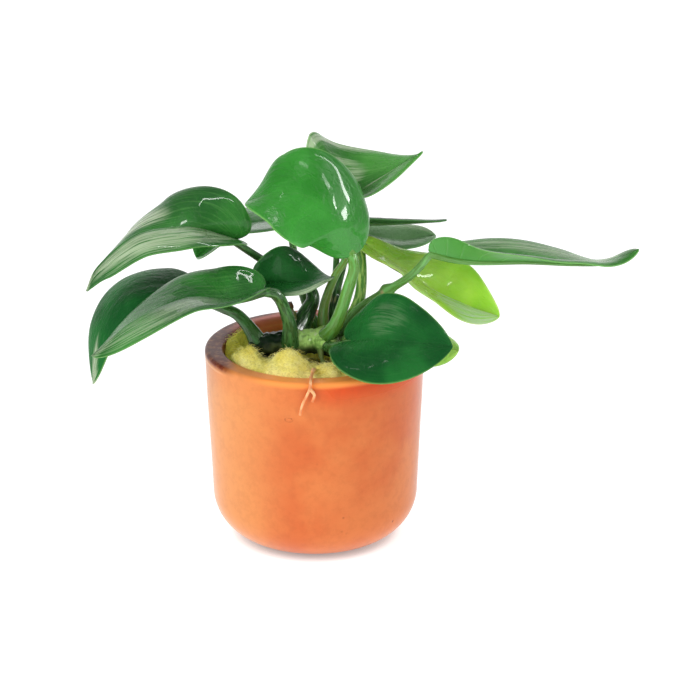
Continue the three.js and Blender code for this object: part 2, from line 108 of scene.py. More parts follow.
# Creeping stem, its stub and the root, as in the solids
STEM_BRANCHES = [
    {
        "points": [[-16, -4.5, 50.5], [-12, -4, 51], [-6, -3.5, 51.5], [0, -2, 51.5], [5, -1, 52],
                   [9.5, 0, 52.5]],
        "radii": [1.6, 3, 3.2, 3, 3.4, 2],
    },
    {
        "points": [[3, 0, 51.5], [3.5, 5, 51], [3, 10.5, 50.5]],
        "radii": [3, 3.2, 2],
    },
    {
        "points": [[1, -2, 51.5], [4.5, -5, 51.5], [5.5, -8, 51.5]],
        "radii": [3, 3, 2],
    },
    {
        "points": [[1.5, -4, 51], [1.5, -7, 50.5], [2.5, -10.5, 48]],
        "radii": [1.2, 0.8, 0.6],
    },
]
STUB = {"points": [[-4, 0.5, 50], [-5, 2, 55], [-6.5, 2.5, 60]], "radii": [1.8, 1.1, 0.9]}
STEM_VOXEL = 0.32
STEM_RING_EVERY = 2.3
STEM_RING_HEIGHT = 0.2
STEM_RING_SLANT = 0.35
STUB_FROM = 56
STEM_ROUGHNESS = 0.5
STEM_KNOB_STEPS = 0.8
STEM_GRAIN = 0.08
STEM_GRAIN_STEPS = 2.3
ROOT_RADIUS = 0.45
ROOT_CLEAR = ROOT_RADIUS + GAP
ROOT_STRANDS = [
    [
        [0.5, -17.5, 49.5],
        [0, -20.5, POT_HEIGHT + 1],
        [-0.3, -23, POT_HEIGHT + ROOT_CLEAR],
        [-0.5, -25.3, POT_HEIGHT + ROOT_CLEAR],
        [-0.6, -POT_RADIUS - 0.4, POT_HEIGHT + 0.3],
        [-0.8, -POT_RADIUS - ROOT_CLEAR, POT_HEIGHT - 1],
        [-1.5, -POT_RADIUS - ROOT_CLEAR, 47],
        [-2.6, -POT_RADIUS - ROOT_CLEAR, 44.5],
        [-3.2, -POT_RADIUS - ROOT_CLEAR, 42],
    ],
    [
        [-0.7, -POT_RADIUS - ROOT_CLEAR, POT_HEIGHT - 1],
        [0.3, -POT_RADIUS - ROOT_CLEAR, 47.2],
        [-0.2, -POT_RADIUS - ROOT_CLEAR, 45.4],
    ],
]

# What all blades share
BLADE_ROWS = 110
HALF_COLUMNS = 24
BLADE_THICKNESS = 0.52
EDGE_THINNING = 0.6
LOBE_PEAK = 0.13
VEIN_START_POWER = 1.5
VEIN_SWEEP_POWER = 1.4
VEINS = 11
VEIN_RELIEF = 0.04
RIB_GROOVE = 0.14
RIB_GROOVE_WIDTH = 0.8
RIB_SUNK_AT_NOTCH = 0.35
RIB_SUNK = -0.12
RIB_SINK_SHARE = 0.1
RIB_REACH = 0.95
RIB_END_RADIUS = 0.2
MARGIN_WAVE = 0.35
MARGIN_ROLL = 0.4
MARGIN_ROLL_START = 0.8
FAN_RELIEF = 0.16
FAN_REACH = 0.34
FAN_STEPS = (13, 1.6)
STALK_SIDES = 16
STALK_STEPS = 40
STALK_TAPER_POWER = 0.7
SHEATH_SWELL = 0.3
SHEATH_SHARE = 0.25
KNOT_SWELL = 0.8
KNOT_SHARE = 0.04
RIB_STEPS = 40
LEAST_CURL = 0.1

# Leaves, with the same meaning as in the solids: stalk and rib points, face directions, half widths,
# lobe and point of the outline, and fold and curl of each half in degrees from notch to tip. Here each
# row also has its stalk's colour as 0 to 255; how far up the stalk a knot stands, where there is one;
# its pale patches, partly real paleness and partly painted sheen, reflections and highlights, each with
# its middle and its reach in v and s, and its strength; and between which v its film of water ends,
# where it is wet near its base only
LEAVES = [
    {
        "name": "leaf_upper_left", "look": "mid",
        "stalk": [[-4.5, 2, 52.5], [-2, 5, 56.5], [-0.5, 7, 60], [-3, 8.5, 63.5], [-10, 7.5, 67.5]],
        "rib": [[-20, 3, 76.3], [-27.5, 1, 79.5], [-34, -2, 81], [-43.5, -5, 79.8], [-52.5, -7, 72.5],
                [-55.5, -8, 66.5]],
        "face": [[0.2, -0.5, 0.8], [-0.2, -0.4, 0.9], [-0.4, -0.4, 0.8]],
        "half": [10, 12.5], "lobe": 0.1, "point": 0.9, "radius": [2.4, 0.9],
        "fold": [[55, -30], [95, -75]], "curl": [[-30, -40], [-75, -45]],
        "stalk_paint": (40, 84, 38),
        "pale_and_sheen": [[0.97, 0, 0.08, 1.2, 0.8], [0.62, -0.6, 0.13, 0.4, 0.8], [0.5, 0.5, 0.45, 0.45, 0.72]],
    },
    {
        "name": "leaf_low_left_back", "look": "deep",
        "stalk": [[-13.5, -4, 51], [-15.5, -3, 54.5], [-19, -1, 58], [-23, 0, 59.5]],
        "rib": [[-27.5, 1, 61.5], [-37, 0, 65.5], [-47, -1, 63.5], [-53, -3, 55], [-55, -6, 41.5]],
        "face": [[-0.1, -0.5, 0.9], [-0.4, -0.3, 0.8], [-0.8, -0.5, 0.2]],
        "half": [10, 11.5], "lobe": 0.02, "point": 0.6, "radius": [2, 1.1],
        "fold": [[20, -10], [-10, 5]], "curl": [[-30, -30], [-25, -25]],
        "stalk_paint": (54, 94, 38),
        "pale_and_sheen": [[0.98, 0.2, 0.13, 1.2, 0.85]],
    },
    {
        "name": "leaf_low_left_front", "look": "mid",
        "stalk": [[-6, -6, 52], [-6, -7, 57.5], [-7.5, -8, 63], [-9, -9, 66]],
        "rib": [[-12, -9, 67.5], [-21, -12, 66], [-31, -14, 66.5], [-43, -17, 62], [-53.5, -20, 54]],
        "face": [[0, -0.2, 1], [-0.2, -0.2, 1], [-0.7, -0.4, 0.6]],
        "half": [10.5, 11.5], "lobe": 0.04, "point": 0.3, "radius": [1.8, 1.2],
        "fold": [[35, -10], [35, -30]], "curl": [[-5, -10], [0, 5]],
        "stalk_paint": (46, 94, 40),
        "pale_and_sheen": [[0.97, 0.4, 0.08, 0.7, 0.5], [0.68, 0.5, 0.3, 0.5, 0.4]],
    },
    {
        "name": "leaf_small_centre", "look": "dark",
        "stalk": [[-5, -2, 50.5], [-6.5, -2.5, 56], [-8.5, -1, 61], [-10.5, 0.5, 63]],
        "rib": [[-13, 2, 65.5], [-3, 1, 66], [5, 0, 67.5]],
        "face": [[-0.3, -0.6, 0.8], [0.1, -0.4, 0.9]],
        "half": [9, 7.5], "lobe": 0.16, "point": 0.8, "radius": [1.3, 0.8],
        "fold": [[75, -40], [40, 20]], "curl": [[5, -30], [-10, -15]],
        "stalk_paint": (60, 104, 46),
        "pale_and_sheen": [[0.7, -0.95, 0.3, 0.14, 0.75]],
    },
    {
        "name": "leaf_top_centre", "look": "bright",
        "stalk": [[3, -5.5, 54], [5.5, -7, 58], [8.3, -7, 66.5], [9.8, -7, 72]],
        "rib": [[9.5, -7, 75.5], [6.5, -8, 84.2], [-0.5, -6, 89.5], [-8.5, -4, 90.5], [-16.5, -2, 87.2]],
        "face": [[0.2, -0.9, 0.3], [0.5, -0.9, 0], [-0.4, -0.4, 0.8]],
        "half": [12, 13.5], "lobe": 0.02, "point": 0.1, "radius": [1.7, 1.3],
        "fold": [[-15, 40], [-15, -15]], "curl": [[-15, -20], [-45, -10]],
        "stalk_paint": (92, 146, 52), "wet": (0.42, 0.6),
    },
    {
        "name": "leaf_top_back", "look": "fresh",
        "stalk": [[2, 1.5, 52.5], [2.5, 2, 59.5], [5, 3, 66.5], [8, 5.5, 71], [9, 9.5, 77.5]],
        "rib": [[7, 12.5, 83.7], [12, 13.5, 86], [20, 14.5, 90.9], [27, 15.5, 95.3]],
        "face": [[-0.4, -0.6, 0.7], [-0.3, -0.5, 0.8]],
        "half": [20, 11], "lobe": 0.23, "point": 1.7, "radius": [1.2, 0.8],
        "fold": [[20, -15], [45, 20]], "curl": [[10, -50], [20, -30]],
        "stalk_paint": (116, 148, 60),
        "pale_and_sheen": [[0.3, 1, 0.3, 0.2, 0.75], [0.75, 0, 0.25, 0.05, 0.7], [0.4, 0.4, 0.15, 0.3, 0.6]],
    },
    {
        "name": "leaf_right_back", "look": "far",
        "stalk": [[4, 4.5, 52], [5, 6, 59.5], [7, 12, 66], [8, 19.5, 68]],
        "rib": [[9.5, 23, 72], [21, 24, 69.5], [31, 26, 70]],
        "face": [[0.2, -0.1, 1], [0, -0.2, 1]],
        "half": [9.2, 7.8], "lobe": 0.1, "point": 0.4, "radius": [1.1, 0.8],
        "fold": [[15, 25], [15, 25]], "curl": [[-20, -35], [-15, -25]],
        "stalk_paint": (30, 66, 30), "knot": 0.27,
        "pale_and_sheen": [[0.5, 0.9, 0.5, 0.3, 0.6]],
    },
    {
        "name": "leaf_young_right", "look": "young",
        "stalk": [[8, 1, 53.5], [10.8, 2.5, 59.5], [11.7, 4.5, 64.5], [11.7, 6, 70]],
        "rib": [[11.5, 7, 74.5], [22, 6.5, 67.5], [32, 3.5, 61.5], [46, -1, 57.5]],
        "face": [[0, -0.3, 0.9], [-0.5, -0.1, 0.9], [0.5, -0.9, -0.2]],
        "half": [11.5, 9], "lobe": 0.06, "point": 0.3, "taper": 0.3, "radius": [1.6, 1.1],
        "fold": [[-5, 20], [10, 50]], "curl": [[-20, 5], [10, 25]],
        "stalk_paint": (88, 144, 58),
        "pale_and_sheen": [[0.84, -0.6, 0.17, 0.55, 0.9], [0.84, -0.03, 0.16, 0.06, 1.0]],
    },
    {
        "name": "leaf_long_right", "look": "fresh",
        "stalk": [[6.5, -2.5, 53.5], [11.5, -1.5, 59.8], [18, -2, 64.6], [24, -5, 69.8]],
        "rib": [[28.5, -5, 75.5], [39, -6, 74], [52, -8, 74.5], [63, -10, 74.5], [71, -11, 75],
                [78.5, -12, 78.5]],
        "face": [[0.1, 0.2, 1], [-0.1, -0.2, 1], [0, -0.1, 1], [0, 0.1, 1], [-0.1, -0.4, 0.9]],
        "half": [10.5, 9], "lobe": 0.03, "point": 0.5, "radius": [1.4, 0.9],
        "fold": [[20, -5], [70, 0]], "curl": [[-20, -20], [-10, -25]],
        "stalk_paint": (92, 142, 62), "knot": 0.5,
        "pale_and_sheen": [[0.8, 0.4, 0.06, 0.8, 0.65], [0.42, 0.6, 0.25, 0.22, 0.45],
                     [0.62, 0.5, 0.2, 0.28, 0.35]],
    },
    {
        "name": "leaf_front_right", "look": "deep",
        "stalk": [[3.5, -8, 52], [5, -11.5, 53.5]],
        "rib": [[8.5, -15, 56], [15, -19, 58], [23, -22, 58.5], [33.5, -23, 57.5]],
        "face": [[0.1, -0.6, 0.8], [0, -0.9, 0.4]],
        "half": [12.5, 13], "lobe": 0.14, "point": 0.5, "radius": [1.2, 0.9],
        "fold": [[5, 5], [40, 10]], "curl": [[0, -15], [-30, -35]],
        "stalk_paint": (60, 100, 44),
        "pale_and_sheen": [[0.5, 0.45, 0.16, 0.4, 0.1]],
    },
    {
        "name": "leaf_under_front_right", "look": "pale",
        "stalk": [[7, -5.5, 52], [10.5, -6.5, 56.5]],
        "rib": [[14.5, -7.5, 61], [25, -10, 56], [35.5, -12, 52.5]],
        "face": [[0.1, -0.8, 0.6], [0.2, -0.7, 0.6]],
        "half": [11, 8.5], "lobe": 0.08, "point": 0.1, "radius": [1.1, 0.8],
        "fold": [[5, -30], [40, -5]], "curl": [[-65, -70], [0, 5]],
        "stalk_paint": (84, 130, 56),
    },
    {
        "name": "leaf_back_left", "look": "bright",
        "stalk": [[1, 8, 50], [-3, 11.5, 59], [-5.5, 15, 70.5]],
        "rib": [[-6.5, 17, 77], [-19.5, 17, 75], [-30, 15, 67.5]],
        "face": [[-0.2, -0.2, 0.9], [-0.2, -0.4, 0.9]],
        "half": [9, 10], "lobe": 0.1, "point": 0.1, "radius": [1.2, 0.8],
        "fold": [[10, 30], [-10, 35]], "curl": [[5, 20], [-30, -20]],
        "stalk_paint": (78, 126, 52),
    },
    {
        "name": "leaf_far_right", "look": "dark",
        "stalk": [[4.5, 9, 50.5], [5, 12, 60], [5.5, 15, 69.5]],
        "rib": [[6, 16, 77], [19.5, 19, 76], [33.5, 22, 75.5]],
        "face": [[0, 0.25, 1], [0, 0.25, 1]],
        "half": [7, 7], "lobe": 0.05, "point": 0.9, "radius": [1, 0.7],
        "fold": [[15, -10], [20, 5]], "curl": [[-5, -20], [-10, -10]],
        "stalk_paint": (74, 122, 50),
    },
]

# Greens of each kind of leaf, as 0 to 255: shade and light of the upper side, veins, edge and underside;
# how far light passes into it; how strongly it shines; and how strongly veins, midrib and streaks show
LEAF_LOOKS = {
    "dark": {
        "slot": "leaf_dark", "shade": (20, 72, 30), "light": (36, 104, 46),
        "vein": (62, 128, 62), "edge": (84, 140, 74), "under": (70, 126, 62),
        "glow": 0.03, "gloss": 0.3, "marks": (0.04, 0.08, 0.15),
    },
    "deep": {
        "slot": "leaf_dark", "shade": (20, 78, 34), "light": (34, 106, 46),
        "vein": (70, 136, 66), "edge": (112, 160, 84), "under": (70, 126, 62),
        "glow": 0.03, "gloss": 0.05, "marks": (0.02, 0.04, 0.08),
    },
    # far: a dark green leaf painted pale grey-green, a painted reflection of the white surroundings
    "far": {
        "slot": "leaf_dark", "shade": (112, 160, 102), "light": (148, 192, 140),
        "vein": (90, 154, 84), "edge": (110, 164, 96), "under": (70, 126, 62),
        "glow": 0.03, "gloss": 0.3, "marks": (0.04, 0.08, 0.2),
    },
    "mid": {
        "slot": "leaf_mid", "shade": (34, 96, 36), "light": (56, 132, 52),
        "vein": (88, 152, 74), "edge": (104, 160, 84), "under": (72, 142, 66),
        "glow": 0.05, "gloss": 0.4, "marks": (0.06, 0.12, 0.45),
    },
    "fresh": {
        "slot": "leaf_mid", "shade": (52, 122, 42), "light": (78, 156, 62),
        "vein": (112, 180, 92), "edge": (124, 184, 100), "under": (84, 152, 72),
        "glow": 0.06, "gloss": 0.4, "marks": (0.06, 0.12, 0.4),
    },
    "bright": {
        "slot": "leaf_bright", "shade": (44, 128, 40), "light": (60, 148, 54),
        "vein": (104, 180, 84), "edge": (126, 190, 100), "under": (104, 164, 80),
        "glow": 0.08, "gloss": 0.7, "marks": (0.02, 0.04, 0.05),
    },
    "pale": {
        "slot": "leaf_pale", "shade": (164, 216, 88), "light": (190, 236, 112),
        "vein": (136, 184, 96), "edge": (160, 204, 116), "under": (112, 160, 82),
        "glow": 0.1, "gloss": 0.3, "marks": (0.06, 0.12, 0.2),
    },
    "young": {
        "slot": "leaf_young", "shade": (148, 204, 56), "light": (176, 219, 78),
        "vein": (182, 216, 104), "edge": (196, 222, 130), "under": (176, 208, 104),
        "glow": 0.3, "gloss": 0.45, "marks": (0.06, 0.15, 0.15),
    },
}

# Pale colour of the patches on blades: partly real paleness, partly painted sheen, reflections and highlights
PALE_AND_SHEEN = (196, 212, 178)
STALK_FOOT = (38, 62, 30)
# Pale colour of a stalk's knot, a painted highlight
STALK_KNOT_HIGHLIGHT = (170, 160, 110)
# Steps of the noise along the blade and across it, in the film of water and in the streaks
FILM_STEPS = (24, 7, 1)
FILM_DEPTH = 0.3
DRY_COAT = 0.08
STREAK_STEPS = (4, 22, 1)
LEAF_SCATTER = (0.35, 1.0, 0.15)
LEAF_SCATTER_DEPTH = 1.2

CLAY = {
    "shade": (209, 104, 52),
    "light": (222, 130, 70),
    "deep": (214, 104, 58),
    # painted light: the left side lighter, as if lit from the left
    "left": (230, 156, 92),
    # wet clay, with a painted shadow of the front right leaf in it
    "wet": (218, 72, 18),
    "grain": (150, 66, 34),
    "stain": (112, 34, 14),
    # painted reflection of the white surroundings on the inner back wall
    "back": (250, 134, 126),
    # painted light on the front of the rim
    "front": (255, 156, 76),
    # painted highlight along a turning line
    "turned": (255, 206, 158),
    "speck": (132, 58, 34),
}
# Where the clay's colours change, in millimetres
CLAY_REACH = {
    "left_x": (-24, -2),
    "wet_shadow_z": (47, 53.5),
    "wet_shadow_x": (-4, 8),
    "rim_z": (47.8, 49.2),
    "stain": (13.5, 19),
    "back_y": (8, 18),
    "back_z": (44, 48),
    "inner_wall": (24.5, 26.2),
    "front_x": (-18, -10),
    "front_y": (-21, -17),
    "marks_y": (-10, 0),
    "turned": (0.1, 0.4),
}
# Its clear coat on the wall and on the rim
CLAY_COAT = (0.5, 0.05)

WOOL = {
    "shade": (240, 224, 98),
    "light": (255, 247, 164),
    "algae": (255, 240, 104),
    # painted shadow round the stem
    "hollow": (18, 16, 9),
    "grain": (170, 150, 60),
    "fibre": (255, 247, 180),
}
# Where the wool turns olive with algae, and where a dark shadow is painted round the stem, in millimetres
WOOL_ALGAE = (-8.5, -1)
WOOL_SHADOW_PAINT = {"front_y": (-11.5, -9.5), "back_y": (-1, 3), "left_x": (-14, -11)}

STEM = {
    "old": (16, 34, 18),
    "growing": (200, 244, 136),
    # painted shade in the creases
    "crease": (130, 182, 84),
    # painted highlights on the knob tops
    "spots": (244, 255, 206),
    # painted shade underneath and at the right end
    "low": (16, 16, 10),
    "stub": (104, 112, 50),
    "stub_end": (92, 56, 34),
    "peg": (120, 136, 74),
}
# Where the stem's colours change, in millimetres
STEM_REACH = {
    "growing_x": (-3.5, -1),
    "shaded_low_z": (50.3, 52.3),
    "shaded_right_x": (3, 6),
    "stub_z": (54.5, 55.5),
    "stub_end_z": (58, 59.2),
    "peg_y": (-8.5, -6.5),
    "peg_x": (3.5, 4.5),
}
ROOT = {"shade": (226, 138, 82), "light": (244, 188, 132)}


def paint(color):
    """A colour given as 0 to 255 on a screen, as the shader's linear colour."""
    def linear(value):
        share = value / 255
        return share / 12.92 if share <= 0.04045 else ((share + 0.055) / 1.055) ** 2.4
    return (*map(linear, color), 1.0)


class Shade:
    """One procedural material: short calls that add nodes, and a colour laid on in layers."""

    def __init__(self, name):
        self.material = bpy.data.materials.new(name)
        self.material.use_nodes = True
        self.tree = self.material.node_tree
        self.color = None

    def fill(self, socket, value):
        """Links a node's output to a socket, or sets the socket to a plain value."""
        if isinstance(value, bpy.types.NodeSocket):
            self.tree.links.new(value, socket)
        else:
            socket.default_value = value

    def node(self, kind, values, **settings):
        made = self.tree.nodes.new("ShaderNode" + kind)
        for key, value in settings.items():
            setattr(made, key, value)
        for key, value in values.items():
            self.fill(made.inputs[key], value)
        return made

    def place(self):
        return self.node("TexCoord", {}).outputs["Object"]

    def uv(self):
        return self.split(self.node("UVMap", {}, uv_map=UV_LAYER).outputs["UV"])

    def split(self, vector):
        return self.node("SeparateXYZ", {0: vector}).outputs

    def join(self, x, y, z=0.0):
        return self.node("CombineXYZ", {0: x, 1: y, 2: z}).outputs[0]

    def math(self, operation, a, b=0.0):
        return self.node("Math", {0: a, 1: b}, operation=operation).outputs[0]

    def plus(self, a, b):
        return self.math("ADD", a, b)

    def minus(self, a, b):
        return self.math("SUBTRACT", a, b)

    def times(self, a, b):
        return self.math("MULTIPLY", a, b)

    def far(self, a, b):
        """The distance of a point whose distances along two axes are given."""
        return self.math("SQRT", self.plus(self.times(a, a), self.times(b, b)))

    def stretch(self, vector, scale):
        return self.node("VectorMath", {0: vector, 1: scale}, operation="MULTIPLY").outputs[0]

    def step(self, value, low, high, to_low=0.0, to_high=1.0):
        values = {"Value": value, "From Min": low, "From Max": high, "To Min": to_low, "To Max": to_high}
        return self.node("MapRange", values, interpolation_type="SMOOTHSTEP").outputs[0]

    def ramp(self, value, span, to_low=0.0, to_high=1.0):
        """A smooth change between two places given in millimetres."""
        return self.step(value, span[0] * MM, span[1] * MM, to_low, to_high)

    def noise(self, vector, scale, detail=3.0, roughness=0.5, distortion=0.0):
        values = {"Vector": vector, "Scale": scale, "Detail": detail, "Roughness": roughness,
                  "Distortion": distortion}
        return self.node("TexNoise", values).outputs["Fac"]

    def dots(self, vector, scale):
        """Distances from points scattered in space."""
        return self.node("TexVoronoi", {"Vector": vector, "Scale": scale}).outputs["Distance"]

    def base(self, share, low, high):
        """Starts the colour as a mix of two, each a node's output or given as 0 to 255."""
        low, high = (tone if isinstance(tone, bpy.types.NodeSocket) else paint(tone) for tone in (low, high))
        self.color = self.node("Mix", {0: share, 6: low, 7: high}, data_type="RGBA").outputs[2]

    def layer(self, share, color):
        """Lays one more colour over those below."""
        self.base(share, self.color, color)

    def bump(self, height, depth, strength=1.0, normal=None):
        values = {"Height": height, "Distance": depth * MM, "Strength": strength}
        if normal is not None:
            values["Normal"] = normal
        return self.node("Bump", values).outputs["Normal"]

    def finish(self, scatter=None, **inputs):
        """Fills the surface shader's sockets; a name's underscores stand for spaces.

        scatter says how much light passes in, how far each of red, green and blue goes, and the depth.
        """
        if scatter:
            weight, radius, depth = scatter
            inputs.update(Subsurface_Weight=weight, Subsurface_Radius=radius, Subsurface_Scale=depth * MM)
        sockets = self.tree.nodes["Principled BSDF"].inputs
        for key, value in {"Base_Color": self.color, **inputs}.items():
            self.fill(sockets[key.replace("_", " ")], value)
        return self.material


class Skin:
    """Points, faces, a material number for each face and a UV pair for each corner, for one mesh."""

    def __init__(self):
        self.points = []
        self.faces = []
        self.slots = []
        self.corners = []

    def sheet(self, points, uv, slot=0, wrap=False):
        """A grid of rows and columns. With wrap, the last column joins the first; uv has one column more."""
        rows, columns = points.shape[:2]
        first = len(self.points)
        self.points.extend(points.reshape(-1, 3).tolist())
        for i in range(rows - 1):
            for j in range(columns if wrap else columns - 1):
                k = (j + 1) % columns
                low = first + i * columns
                high = low + columns
                self.faces.append((low + j, low + k, high + k, high + j))
                self.slots.append(slot)
                self.corners.extend((uv[i, j], uv[i, j + 1], uv[i + 1, j + 1], uv[i + 1, j]))

    def tube(self, centres, radii, sides, slot=0, flutes=0.0):
        """A closed tube along centres, fluted a little where asked, with its ends drawn to a point."""
        centres = np.asarray(centres, float)
        along = np.gradient(centres, axis=0)
        along /= np.linalg.norm(along, axis=1)[:, None]
        side = np.array([0, 1, 0.2])
        angles = np.linspace(0, 2 * np.pi, sides, endpoint=False)
        rings = [np.repeat(centres[:1], sides, axis=0)]
        for centre, way, radius in zip(centres, along, radii):
            side = side - side.dot(way) * way
            side /= np.linalg.norm(side)
            across = np.cross(way, side)
            reach = radius * (1 + flutes * np.cos(3 * angles))[:, None]
            ring = np.cos(angles)[:, None] * side + np.sin(angles)[:, None] * across
            rings.append(centre + reach * ring)
        rings.append(np.repeat(centres[-1:], sides, axis=0))
        self.sheet(np.array(rings), even_uv(len(rings), sides + 1), slot, wrap=True)

    def build(self, name, materials, sharp=50):
        """The finished mesh object in metres, with points joined, faces out and sharp edges kept."""
        mesh = bpy.data.meshes.new(name)
        mesh.from_pydata((np.array(self.points) * MM).tolist(), [], self.faces)
        layer = mesh.uv_layers.new(name=UV_LAYER)
        layer.data.foreach_set("uv", np.array(self.corners).ravel())
        mesh.polygons.foreach_set("material_index", self.slots)
        work = bmesh.new()
        work.from_mesh(mesh)
        bmesh.ops.remove_doubles(work, verts=work.verts, dist=MERGE_DISTANCE)
        bmesh.ops.recalc_face_normals(work, faces=work.faces)
        work.to_mesh(mesh)
        work.free()
        finish_mesh(mesh, materials, sharp)
        return add_object(name, mesh)


def even_uv(rows, columns):
    """UV pairs spread evenly over a grid."""
    return np.stack(np.meshgrid(np.linspace(0, 1, rows), np.linspace(0, 1, columns), indexing="ij"), axis=-1)


def finish_mesh(mesh, materials, sharp):
    for material in materials:
        mesh.materials.append(material)
    mesh.polygons.foreach_set("use_smooth", [True] * len(mesh.polygons))
    mesh.set_sharp_from_angle(angle=math.radians(sharp))
    mesh.update()


def add_object(name, data):
    made = bpy.data.objects.new(name, data)
    bpy.context.scene.collection.objects.link(made)
    return made


def stand_for(piece, node):
    """The piece rides with the part and is shown in place of a CAD node."""
    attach(piece, "root")
    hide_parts(node)


def curve(points, t):
    """Points of a smooth line through given points, for an array of t from 0 to 1."""
    p = np.asarray(points, float)
    t = np.atleast_1d(np.asarray(t, float))
    spans = len(p) - 1
    p = np.vstack([2 * p[0] - p[1], p, 2 * p[-1] - p[-2]])
    reach = np.clip(t, 0, 1) * spans
    i = np.minimum(reach.astype(int), spans - 1)
    f = (reach - i)[:, None]
    a, b, c, d = p[i], p[i + 1], p[i + 2], p[i + 3]
    bend = (2 * a - 5 * b + 4 * c - d) * f ** 2 + (3 * b - a - 3 * c + d) * f ** 3
    return 0.5 * (2 * b + (c - a) * f + bend)


def unit(vectors):
    return vectors / np.linalg.norm(vectors, axis=-1, keepdims=True)


def wave_sum(values, seed, count=3):
    """A smooth uneven wave from -1 to 1 made of a few sines with seeded phases."""
    draw = random.Random(seed)
    total = np.zeros_like(values)
    for k in range(1, count + 1):
        total += np.sin(values * 2 * np.pi * (k + draw.uniform(-0.3, 0.3)) + draw.uniform(0, 6.28)) / k
    return total / 1.8


# Leaves

class Blade:
    """The surface of one blade: v runs from notch to tip, s from the right edge at -1 to the left at 1."""

    def __init__(self, row):
        self.row = row
        line = curve(row["rib"], np.linspace(0, 1, 80))
        self.length = np.linalg.norm(np.diff(line, axis=0), axis=1).sum()

    def frame_at(self, share):
        """Place on the midrib, and the blade's own normal and sideways directions there."""
        t = np.clip(share, 0, 1)
        small = 1e-4
        tangent = unit(curve(self.row["rib"], t + small) - curve(self.row["rib"], t - small))
        place = curve(self.row["rib"], t) + tangent * (np.minimum(share, 0) * self.length)[:, None]
        face = curve(self.row["face"], t)
        normal = unit(face - (face * tangent).sum(1)[:, None] * tangent)
        return place, normal, np.cross(normal, tangent)

    def outline(self, v):
        """How far along and how far out the edge is, as shares of the length and of the half width."""
        lobe, point, taper = self.row["lobe"], self.row["point"], self.row.get("taper", 0)
        back = lobe * (v / LOBE_PEAK) * np.exp(1 - v / LOBE_PEAK) * (1 - v) ** 2
        width = lambda x: np.sin(np.pi * x) * (1 - x) ** point * x ** taper
        return (1 - np.cos(np.pi * v)) / 2 - back, width(v) / width(np.linspace(0, 1, 201)).max()

    def points(self, v, s):
        along, across = self.outline(v)
        u = np.abs(s)
        start = v ** VEIN_START_POWER
        share = start + (along - start) * u ** VEIN_SWEEP_POWER
        place, normal, side = self.frame_at(share)
        t = np.clip(share, 0, 1)
        left = s >= 0

        def along_half(key):
            (a0, a1), (b0, b1) = self.row[key]
            return np.radians(np.where(left, a0 + (a1 - a0) * t, b0 + (b1 - b0) * t))

        width = np.where(left, self.row["half"][0], self.row["half"][1])
        reach = width * across * u
        fold = along_half("fold")
        curl = along_half("curl")
        curl = np.where(np.abs(curl) < math.radians(LEAST_CURL), math.radians(LEAST_CURL), curl)
        bend = curl / width
        out = (np.sin(fold + bend * reach) - np.sin(fold)) / bend
        up = (np.cos(fold) - np.cos(fold + bend * reach)) / bend
        return place + side * (np.sign(s) * out)[:, None] + normal * up[:, None], reach

    def relief(self, v, s, reach, seed):
        """Height over the plain surface: veins, midrib groove, wavy edge turned down, ripples at the base."""
        u = np.abs(s)
        between = np.sin(np.pi * (v * VEINS + 0.5 * (s > 0))) ** 2
        ribs = VEIN_RELIEF * (between - 0.5) * np.sin(np.pi * u) ** 0.7 * np.sin(np.pi * v) ** 0.5
        groove = -RIB_GROOVE * np.exp(-((reach / RIB_GROOVE_WIDTH) ** 2)) * (1 - v)
        side_seed = np.where(s > 0, 1.0, 0.0)
        wave = wave_sum(v + 3.7 * side_seed, seed) * MARGIN_WAVE * u ** 3 * np.sin(np.pi * v)
        roll = -MARGIN_ROLL * (np.maximum(0, u - MARGIN_ROLL_START) / (1 - MARGIN_ROLL_START)) ** 2
        fan = np.array([noise.noise((FAN_STEPS[0] * a, FAN_STEPS[1] * b, seed)) for a, b in zip(v, s)])
        fan *= FAN_RELIEF * np.exp(-((v / FAN_REACH) ** 2)) * np.sin(np.pi * u) ** 0.5
        return ribs + groove + wave + roll * np.sin(np.pi * v) ** 0.5 + fan


def blade_sheet(skin, row, seed):
    """Both faces of the blade and the thin wall between them at the edge."""
    blade = Blade(row)
    rows, columns = BLADE_ROWS + 1, 2 * HALF_COLUMNS + 1
    v, s = np.meshgrid(np.linspace(0, 1, rows), np.linspace(-1, 1, columns), indexing="ij")
    s = np.sign(s) * (1 - (1 - np.abs(s)) ** 1.25)
    points, reach = blade.points(v.ravel(), s.ravel())
    points = points.reshape(rows, columns, 3)
    normals = np.zeros_like(points)
    inner = np.cross(np.gradient(points, axis=0)[1:-1], np.gradient(points, axis=1)[1:-1])
    normals[1:-1] = unit(inner)
    normals[0] = unit(normals[1].mean(0))
    normals[-1] = unit(normals[-2].mean(0))
    _, rib_normal, _ = blade.frame_at(np.array([0.5]))
    if (normals[rows // 2, columns // 2] * rib_normal[0]).sum() < 0:
        normals = -normals
    height = blade.relief(v.ravel(), s.ravel(), reach, seed).reshape(rows, columns)[..., None]
    points = points + normals * height
    half = 0.5 * BLADE_THICKNESS * (1 - EDGE_THINNING * np.abs(s) ** 5)[..., None]
    upper = points + normals * half
    lower = points - normals * half
    uv = np.stack([v, (s + 1) / 2], axis=-1)
    skin.sheet(upper, uv, 0)
    skin.sheet(lower, uv, 1)
    for column in (0, -1):
        wall = np.stack([upper[:, column], lower[:, column]], axis=1)
        skin.sheet(wall, np.stack([uv[:, column], uv[:, column]], axis=1), 0)
    return blade


